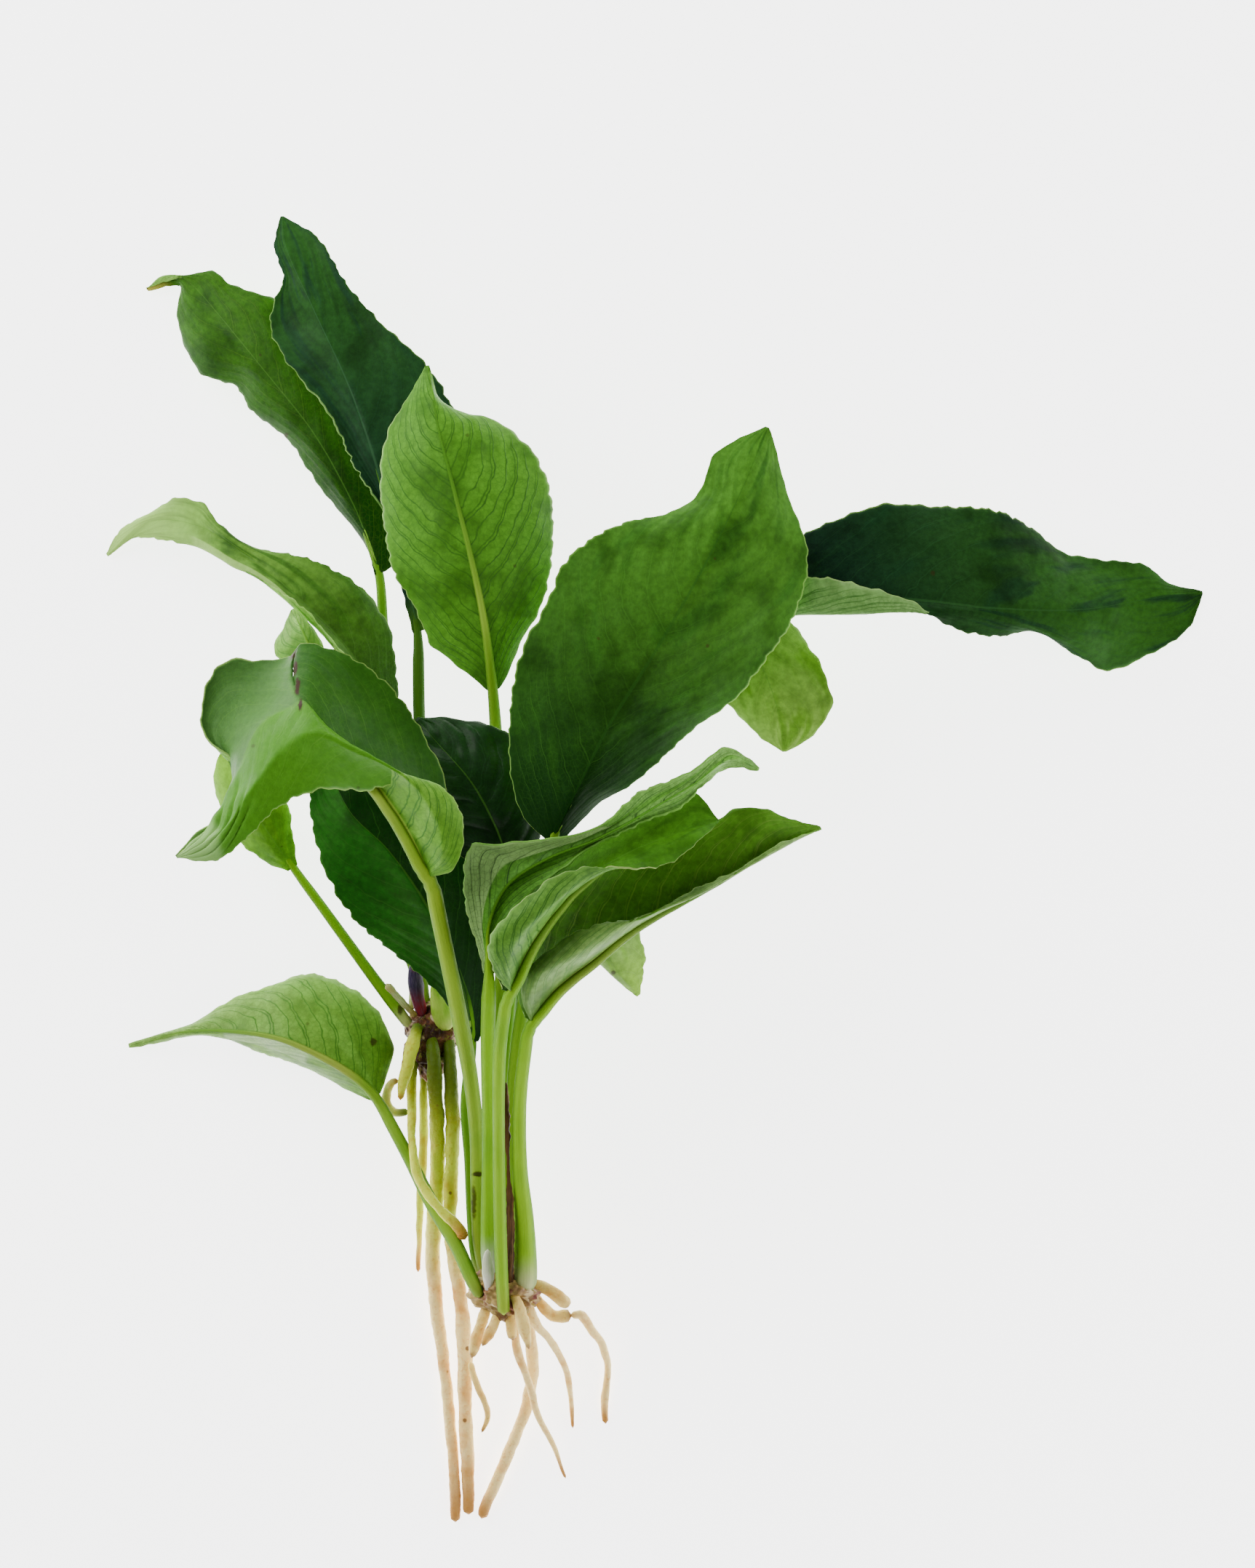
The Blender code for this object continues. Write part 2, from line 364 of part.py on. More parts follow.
def blade_point(blade, lines, u, v):
    """Plan place on a blade: u runs from stalk to tip, v from -1 at the right edge to 1 at the left."""
    edge_line, belly_line = lines[0] if v > 0 else lines[1]
    middle = point_on(blade["mid"], u)
    edge = point_on(edge_line, u)
    if belly_line:
        belly = point_on(belly_line, u)
    else:
        belly = [(a + b) / 2 for a, b in zip(middle, edge)]
        belly[2] += blade["cup"] * math.sin(math.pi * u)
    w = abs(v)
    weights = ((1 - w) * (1 - 2 * w), 4 * w * (1 - w), w * (2 * w - 1))
    return [sum(k * p[i] for k, p in zip(weights, (middle, belly, edge))) for i in range(3)]


def finish_material(name, colour, roughness):
    """A plain coloured finish."""
    material = bpy.data.materials.new(name)
    material.use_nodes = True
    shader = material.node_tree.nodes["Principled BSDF"]
    shader.inputs["Base Color"].default_value = (*colour, 1)
    shader.inputs["Roughness"].default_value = roughness
    return material


def place(name, data, colour, roughness):
    """An object of its own for a shape, with a finish of its own."""
    obj = bpy.data.objects.new(name, data)
    bpy.context.scene.collection.objects.link(obj)
    data.materials.append(finish_material(name + "_finish", colour, roughness))
    return obj


def make_blade(name, blade):
    """A leaf blade: a grid bent to the blade's lines, then given its thickness."""
    bm = bmesh.new()
    bmesh.ops.create_grid(bm, x_segments=BLADE_STATIONS, y_segments=BLADE_STRIPS, size=1.0)
    lines = blade_lines(blade)
    for vert in bm.verts:
        vert.co = seen_at(*blade_point(blade, lines, (vert.co.x + 1) / 2, vert.co.y))
    mesh = bpy.data.meshes.new(name)
    bm.to_mesh(mesh)
    bm.free()
    obj = place(name, mesh, BLADE_COLOURS.get(name, LEAF_GREEN), LEAF_ROUGHNESS)
    wall = obj.modifiers.new("Thickness", "SOLIDIFY")
    wall.thickness = BLADE_THICKNESS * MM
    wall.offset = 0
    return obj


def tube_curve(name, points, grow=0.0):
    """A round tapering curve through points that each hold x, y, z and a radius."""
    curve = bpy.data.curves.new(name, "CURVE")
    curve.dimensions = "3D"
    curve.bevel_depth = MM
    curve.bevel_resolution = 1
    curve.use_fill_caps = True
    length = sum((Vector(b[:3]) - Vector(a[:3])).length for a, b in zip(points, points[1:]))
    count = max(3, round(length / STALK_STEP) + 1)
    spline = curve.splines.new("POLY")
    spline.points.add(count - 1)
    for i, knot in enumerate(spline.points):
        x, y, z, radius = point_on(points, i / (count - 1))
        knot.co = (*seen_at(x, y, z), 1)
        knot.radius = radius + grow
    return curve


def make_tube(name, points, colour, roughness):
    """A stalk, root, stub or sheath."""
    return place(name, tube_curve(name, points), colour, roughness)


def stopped_short(points):
    """A stalk's points with the last one held back, so that the stalk stops a gap short of its blade."""
    last, before = Vector(points[-1][:3]), Vector(points[-2][:3])
    end = last + (before - last).normalized() * STALK_END_ROOM
    return [*points[:-1], (*end, points[-1][3])]


def socket_cutter(name, points):
    """The room that a stalk or root takes in the rhizome it grows from, a gap wider all round."""
    curve = tube_curve(name + "_room", points, GAP)
    source = bpy.data.objects.new(name + "_route", curve)
    bpy.context.scene.collection.objects.link(source)
    mesh = bpy.data.meshes.new_from_object(source.evaluated_get(bpy.context.evaluated_depsgraph_get()))
    bpy.data.objects.remove(source)
    bm = bmesh.new()
    bm.from_mesh(mesh)
    bmesh.ops.remove_doubles(bm, verts=bm.verts, dist=WELD)
    bmesh.ops.recalc_face_normals(bm, faces=bm.faces)
    bm.to_mesh(mesh)
    bm.free()
    cutter = bpy.data.objects.new(name + "_cutter", mesh)
    bpy.context.scene.collection.objects.link(cutter)
    cutter.hide_render = True
    cutter.display_type = "WIRE"
    return cutter


def make_rhizome(name, centre, halves, turn, grown):
    """A knobbly rhizome with a socket for each thing that grows from it."""
    bm = bmesh.new()
    bmesh.ops.create_uvsphere(bm, u_segments=RHIZOME_AROUND, v_segments=RHIZOME_DOWN, radius=1.0)
    c, s = math.cos(math.radians(turn)), math.sin(math.radians(turn))
    for vert in bm.verts:
        slanting = math.sin(KNOB_WAVES[0] * vert.co.x + KNOB_WAVES[1] * vert.co.z)
        level = math.sin(KNOB_WAVES[2] * vert.co.y)
        knob = 1 + KNOBS[0] * slanting + KNOBS[1] * level
        x, y, z = (vert.co[i] * halves[i] * knob for i in range(3))
        vert.co = seen_at(centre[0] + x * c - y * s, centre[1] + x * s + y * c, centre[2] + z)
    mesh = bpy.data.meshes.new(name)
    bm.to_mesh(mesh)
    bm.free()
    obj = place(name, mesh, RHIZOME_BROWN, RHIZOME_ROUGHNESS)
    for part_name, points in grown:
        cut = obj.modifiers.new("Socket", "BOOLEAN")
        cut.operation = "DIFFERENCE"
        cut.solver = "EXACT"
        cut.object = socket_cutter(part_name, points)
    return obj


def touches(points, centre, halves):
    """Whether a route comes within reach of a rhizome anywhere."""
    reach = max(halves) + SOCKET_REACH
    for i in range(ROUTE_STEPS + 1):
        spot = point_on(points, i / ROUTE_STEPS)
        if (Vector(spot[:3]) - Vector(centre)).length < reach:
            return True
    return False


def main():
    """Builds every piece of the plant in an empty scene."""
    for obj in list(bpy.data.objects):
        bpy.data.objects.remove(obj)
    for name, blade in BLADES.items():
        make_blade(name, blade)
    for name, points in STALKS.items():
        make_tube(name, stopped_short(points), STALK_GREEN, STALK_ROUGHNESS)
    for name, points in {**ROOTS, **STUBS}.items():
        make_tube(name, points, ROOT_CREAM, ROOT_ROUGHNESS)
    for name, points in SHEATHS.items():
        make_tube(name, points, SHEATH_COLOURS[name], ROOT_ROUGHNESS)
    everything = {**STALKS, **ROOTS, **STUBS, **SHEATHS}
    for name, (centre, halves, turn) in RHIZOMES.items():
        near = [item for item in everything.items() if touches(item[1], centre, halves)]
        make_rhizome(name, centre, halves, turn, near)


main()
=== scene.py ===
"""Dresses the anubias: veined leaves on fluted stalks, knobbly rhizomes and pale speckled roots.

The plant is described as it is seen from straight above by an eye at EYE_HEIGHT:
x to the right and y up the picture, both in millimetres at the floor, and z the height above the floor.
"""
import math

import bmesh
import bpy
import numpy as np
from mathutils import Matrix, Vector, noise


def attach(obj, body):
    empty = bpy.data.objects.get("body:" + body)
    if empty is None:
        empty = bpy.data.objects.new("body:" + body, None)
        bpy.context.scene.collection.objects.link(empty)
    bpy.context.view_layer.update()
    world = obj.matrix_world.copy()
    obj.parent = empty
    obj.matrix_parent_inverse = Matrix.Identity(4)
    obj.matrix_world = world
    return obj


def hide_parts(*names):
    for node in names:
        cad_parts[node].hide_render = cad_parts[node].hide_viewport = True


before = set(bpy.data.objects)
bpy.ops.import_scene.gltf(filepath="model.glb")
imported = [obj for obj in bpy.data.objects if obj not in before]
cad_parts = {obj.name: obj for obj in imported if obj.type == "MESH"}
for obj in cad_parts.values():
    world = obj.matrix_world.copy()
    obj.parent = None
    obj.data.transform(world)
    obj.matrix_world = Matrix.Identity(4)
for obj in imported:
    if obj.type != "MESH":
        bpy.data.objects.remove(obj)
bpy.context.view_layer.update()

MM = 0.001
EYE_HEIGHT = 2000.0          # the height that the plan is seen from, mm
CENTRE = (7.3, -23.9)        # the plan point that stands over the origin, mm
PICTURE_LENGTH = 431.2       # the length of floor that the picture's long side takes in, mm
BASE_WIDTH = 3.2             # a blade where its stalk meets it, mm
TIP_WIDTH = 0.9              # a blade at its very tip, mm
LEAF_THICKNESS = 0.55        # mm
GRAIN = 0.95                 # the size of the squares that a blade is made of, mm
STALK_STEP = 1.6             # from row to row of a stalk, mm
RIB_STEP = 1.2               # from row to row of the midrib that it runs on as, mm
ROOT_STEP = 0.8              # from row to row of a root or sheath, mm
RIB_REACH = 0.9              # how far the midrib runs along the blade, as a part of it
RIB_STRIPS = 21              # the columns of the blade that the midrib is set on

VEIN_SPACING = 10.0          # between strong side veins along the midrib, mm
FINE_VEINS = 2               # side veins in the space of one strong one
VEIN_SWEEP = 0.34            # how far a side vein runs towards the tip, as a part of the blade's length
VEIN_START = 0.55            # the share of that run that a vein makes evenly; the rest comes near the edge
VEIN_WANDER = ((60.0, 0.7), (240.0, 0.22))      # how fine and how strong the unevenness of the veins' courses is
VEIN_DEPTH = 0.14            # mm
VEIN_WIDTH = 0.22            # from a vein's middle to its side, as a part of the space between two
MIDRIB_DEPTH = 0.45          # mm
MIDRIB_WIDTH = 2.2           # from its middle to its side, mm
RIB_WIDTH_AT_TIP = 0.006     # the midrib's colour at the tip, as a part of half the blade's width
EDGE_WAVE = 34.0             # the length of one wave of a blade's edge, mm
EDGE_WAVE_HEIGHT = 0.7       # mm
SCALLOP = 6.4                # the length of one scallop of a blade's edge, mm
SCALLOP_DEPTH = 0.75         # mm
AREA_BLUR = 0.012            # how softly a coloured area of a blade ends, as a part of the blade
ROOT_SOCKET = 1.2            # how far a root or sheath reaches into what it grows from, mm
ROOT_SIDES = 16
ROOT_LUMPS = 0.10            # how lumpy a root is, as a part of its thickness
STUB_LUMPS = 0.16
SHEATH_FLATNESS = 0.8        # how thick a sheath is, as a part of its width
STALK_SIDES = 20
STALK_FLUTES = 0.02          # how deep the flutes of a stalk are, as a part of its thickness
STALK_FIBRES = 4.5           # how fine the fibres are around a stalk
PORES = 1300.0               # how fine the pores of leaves and stalks are, in each metre
ROOT_TURNS_PALE = -0.097     # the height up the picture where roots turn from olive to cream, m
TABLE_GLOW = 4.0             # how strongly the surface that the plant lies on shines
WORLD_GLOW = 0.35            # the light from all around
FLOOR_SIZE = 4.0             # half the width of that surface, m
LAMP_SIZE = 1.4              # m
LAMPS = {"key": ((-1.1, 0.9, 0.9), 36.0), "fill": ((1.2, -0.5, 0.8), 18.0)}     # where, m, and how strong, W

SPOT_BROWN = "2E1A0A"
LEAF_SPECK = "3A2A12"
# Painted shade in a blade's furrows, and the darker tone of its soft mottles.
LEAF_SHADE_AND_MOTTLE = "A8B49C"        # what tints a blade in its furrows and mottles
# Painted shade on a stalk's flanks, and also the colour of its darker fibre streaks.
STALK_FLANK_SHADE_AND_FIBRE = "2C5A08"
STALK_LIGHT = "B4CC50"
STALK_CLOUD = "3E7A12"
ROOT_OLIVE = "3C520E"        # roots right by their rhizome
ROOT_TINT = "DCB078"         # what tints a root where it is browner
ROOT_SPECK = "6B4420"
RHIZOME_GREEN = "7E8230"


def looks(base, tip, blotch_and_edge_glow, vein, **more):
    """The colours of one side of a blade: by its stalk, at its tip, in blotches and in a painted glow along its
    edges, and on its veins.

    What else can be given:
    foot, foot_to: a colour at the foot, and how far along the blade it fades out; end, end_from: one at the tip
    rib, rib_width, rib_strength: the midrib's colour, its part of half a blade's width, and how strongly it shows
    rim, rim_strength: the same of the thin rim
    vein_width, vein_strength, fine_width, fine_veins: the strong side veins and the fine ones between them
    faintest: what is left of the veins where they are faint; net: the net between them
    furrow: how much painted shade darkens the hollows beside the veins; relief: how far the fine veins are raised or
    sunk
    rough, specular: how the blade shines
    areas: parts with a colour of their own, each from where to where along the blade, from where to where
    across it (0 is the right edge and 1 the left one), its colour and its strength
    """
    return dict(base=base, tip=tip, blotch_and_edge_glow=blotch_and_edge_glow, vein=vein, **more)


UPPER_LOOK = looks(
    "1F4F0C", "2C6C12", "3F7D14", "5E9038", rib="4F7C2E", rib_width=0.03, rib_strength=0.4, rim="8CBC5A",
    rim_strength=0.4, rough=0.5, specular=0.06, vein_width=0.04, vein_strength=0.2, fine_width=0.08, fine_veins=0.05,
    faintest=0.35, net=0.06, furrow=0.45, relief=0.35)
UNDER_LOOK = looks(
    "68A030", "74AA3E", "88BA50", "2C6412", rib="A0C050", rib_width=0.05, rib_strength=0.5, rim="B4D285",
    rim_strength=0.4, rough=0.5, specular=0.1, vein_width=0.065, vein_strength=0.9, fine_width=0.13, fine_veins=0.85,
    faintest=0.65, net=0.25, furrow=0.25, relief=0.8)

# What sets a side of a leaf apart from those two.
LEAF_LOOKS = {
    ("back_left", "upper"): looks("123808", "346410", "26520A", "6A9430", foot="103206", foot_to=0.35,
                                  end="A8A040", end_from=0.93, rough=0.45),
    ("back_dark", "upper"): looks("162E28", "24521A", "1A3C24", "2F5A40", rib="3A6440", vein_strength=0.12,
                                  net=0.0, furrow=0.5, relief=0.1, foot="3A5C1C", foot_to=0.1),
    ("middle", "under"): looks("467C1A", "549020", "508820", "24500E", rib="7DB23C", vein_strength=0.75,
                               vein_width=0.05, fine_width=0.1),
    ("big_front", "upper"): looks("12350E", "427420", "2A5716", "4F8A30", foot="0C2A0A", foot_to=0.45,
                                  vein_strength=0.15, net=0.04, rib="24501A", rough=0.6, specular=0.02),
    ("far_right", "upper"): looks("051416", "265214", "123018", "24502A", rib="2C5428", furrow=0.3, rough=0.6,
                                  specular=0.02),
    ("far_right", "under"): looks("608C44", "7CA65C", "80AA60", "2C5A18"),
    ("small_yellow", "upper"): looks("3E6E0C", "82AC44", "54840E", "86AC48", furrow=0.4),
    ("long_left", "upper"): looks("244A0E", "74A83C", "345F16", "6E9C48", end="A5CF6A", end_from=0.62,
                                  areas=[(0.05, 0.75, 0.66, 1.1, "94BC60", 0.8)]),
    ("small_curled", "upper"): looks("6C9C34", "8CB852", "7FAE46", "5E9038"),
    # On the folded leaf, the greyish green of the far half beyond the bend is a painted sheen.
    ("folded_front", "upper"): looks(
        "427C1C", "488020", "58942A", "6CA038", end="80A860", end_from=0.74, rim="9CC060",
        areas=[(-0.1, 0.51, -0.1, 0.5, "1C4A0A", 0.85), (-0.1, 0.88, 0.5, 1.1, "3F780F", 0.85),
               (0.51, 0.88, -0.1, 0.5, "466F34", 0.9)]),
    ("folded_front", "under"): looks("5A9020", "6A9C34", "6CA232", "24580F", rib="A9C44A", vein_strength=0.95,
                                     vein_width=0.05, fine_width=0.1),
    ("dark_left", "upper"): looks("1A4E0C", "266416", "225A12", "3A702A", vein_strength=0.35, foot="051205",
                                  foot_to=0.42, areas=[(-0.1, 1.1, -0.1, 0.5, "0A2A0A", 0.85)]),
    ("wrinkled", "upper"): looks("0C280C", "163A12", "10300E", "2C5230", rough=0.42, specular=0.1, relief=0.6),
    ("rolled", "upper"): looks("3C7E1E", "4C9024", "468A20", "1F4D0C", rib="5C9A34", rib_strength=0.2),
    # On the rolled leaf's underside, the pale strip along the curled margin is partly a painted highlight.
    ("rolled", "under"): looks("549428", "78AC50", "5C9C2C", "0C2C06", rib="3C7A18", rib_strength=0.2,
                               vein_strength=0.95, vein_width=0.07, fine_width=0.09, fine_veins=0.45,
                               areas=[(-0.1, 0.55, 0.66, 1.1, "A4CC7C", 0.85)]),
    ("folded_right", "upper"): looks("22480A", "3E7414", "2F5E0E", "5C8A30", rim="B8D07A"),
    ("folded_right", "under"): looks("4C7A24", "5E8E34", "6A9A44", "1F4D0C"),
    ("right", "upper"): looks("3C6A12", "4A7C18", "447416", "7C9A44", vein_strength=0.5, vein_width=0.05,
                              fine_veins=0.3, furrow=0.7),
    ("right", "under"): looks("64883C", "709448", "80A45C", "3E6A22"),
    ("hanging", "upper"): looks("7C9A60", "7CAA2C", "74A430", "9CC468"),
    ("lower_left", "under"): looks("5E8C28", "7CA648", "70A03C", "2C5E14", vein_strength=0.8, vein_width=0.045,
                                   fine_width=0.08, areas=[(0.3, 0.62, 0.5, 0.85, "A8C48C", 0.6)]),
    ("small_left", "upper"): looks("5A9418", "76AC24", "6DA31A", "8CBC48"),
}

# The colours of a stalk: its foot, its length, and the midrib that it runs on as.
PLAIN_STALK = ("C4CC80", "64940A", "8CB040")
STALK_LOOKS = {
    "back_left": ("8CA840", "5E8818", "7A9C30"),
    "back_dark": ("648432", "3A5C1A", "1E4024"),
    "middle": ("94AC44", "6A901A", "88AC34"),
    "far_right": ("7C9444", "4C701C", "547A38"),
    "small_yellow": ("A8BC60", "78A020", "88B040"),
    "big_front": ("A8BC60", "6A921A", "2C5A14"),
    "dark_left": ("B8C478", "5C8A14", "143C0C"),
    "folded_front": ("9AA43C", "88AA28", "94AE3C"),
    "folded_right": ("90AC2C", "84B41C", "8CB040"),
    "lower_left": ("90A83C", "7CA428", "98A840"),
    "long_left": ("A8BC60", "84A830", "A0BE58"),
    # The rolled stalk's whitish foot is partly a painted highlight.
    "rolled": ("D8DCC8", "7CB010", "4A7A1A"),
    "right": ("CCD094", "8CBC20", "84A038"),
}
# Midribs that stand out less than most: how thick they start, as a part of their stalk.
PLAIN_RIB = 0.8
LOW_RIBS = {"rolled": 0.25, "back_dark": 0.4}

# The colours of each rhizome: where dark, where light, its pale knobs and its hollows.
RHIZOME_LOOKS = {
    "rhizome_upper": ("2C140C", "70442C", "D0B498", "200804"),
    "rhizome_crown": ("6E5030", "B89C5C", "E4D0A0", "703C34"),
}

# The colours of roots and of stubs: up by the leaves, further down, and at their tips.
ROOT_COLOURS = ("CCD43A", "FCDE94", "B0742C")
STUB_COLOURS = ("CCCC74", "E8CC78", "7A4A1C")

# The dry and waxy sheaths: the finish's name, its colour up its length, at its foot and in its streaks, its slot
# and how ragged it is.
SHEATH_LOOKS = {
    "sheath_purple": (("purple_sheath", "2E2540", "8A1A24", "5A4A68"), "sheath_purple", 0.05),
    "bud_green": (("green_bud", "78A41C", "B4C858", "98BC40"), "bud", 0.05),
    "stalk_broken": (("broken_stalk", "B4BC84", "A88A4C", "5A3C1C"), "dry_sheath", 0.2),
    "sheath_brown": (("brown_sheath", "4A2E16", "2A1A0E", "8A6234"), "dry_sheath", 0.4),
    # The pale sheath's whitish colour is partly a painted highlight on the foot of the rolled stalk.
    "sheath_pale": (("pale_sheath", "BCC8A0", "DCD4CC", "A8A894"), "pale_sheath", 0.1),
}

# Halves of blades that are folded along their belly line, from 0 for a round bend to 1 for a sharp one.
CRISP_FOLDS = {("folded_front", "left"): 0.7, ("folded_right", "right"): 0.5}

# Blades that are more wrinkled than most: from where along them, and how much more.
CRINKLED = {"wrinkled": (-1.0, 5.0), "dark_left": (-1.0, 1.0), "folded_front": (0.74, 8.0)}

# Slits across a blade: how far along it, from where to where across it, and half their width, mm.
TEARS = {"folded_front": [(0.50, -0.92, -0.28, 0.45)]}

# Small brown marks on a blade or stalk: where they are seen on the plan, their width, mm, how strong they are, and
# how many times longer than wide they run up the picture.
MARKS = {
    "stalk_folded_front": [(-41.0, -107.2, 2.4, 0.9, 0.4), (-42.2, -115.0, 0.9, 0.8, 7.0)],
    "stalk_small_left": [(-62.5, -62.0, 0.9, 0.8, 2.0)],
    "blade_folded_front": [(-92.4, 36.2, 1.9, 1.0, 1.2), (-91.4, 32.0, 0.8, 1.0, 3.6), (-90.8, 26.8, 1.0, 1.0, 3.2),
                           (-90.0, 21.8, 0.8, 1.0, 3.2), (-103.0, 10.5, 0.8, 0.5, 1.0), (-74.0, -1.0, 0.6, 0.4, 1.0)],
    "blade_lower_left": [(-70.0, -71.0, 1.3, 0.8, 1.0), (-88.0, -66.0, 0.6, 0.5, 1.0)],
    "blade_big_front": [(22.0, 38.0, 0.7, 0.6, 1.0), (14.0, 2.0, 0.8, 0.5, 1.0), (-8.0, 40.0, 0.6, 0.5, 1.0)],
    "blade_back_left": [(-94.0, 96.0, 0.8, 0.7, 1.0), (-84.0, 76.0, 0.7, 0.6, 1.0), (-101.0, 118.0, 0.6, 0.5, 1.0)],
    "blade_middle": [(-44.0, 96.0, 0.7, 0.5, 1.0), (-31.0, 60.0, 0.6, 0.5, 1.0)],
    "blade_hanging": [(-4.0, -52.0, 0.9, 0.8, 1.0)],
    "blade_far_right": [(84.0, 58.0, 0.9, 0.5, 1.0)],
}
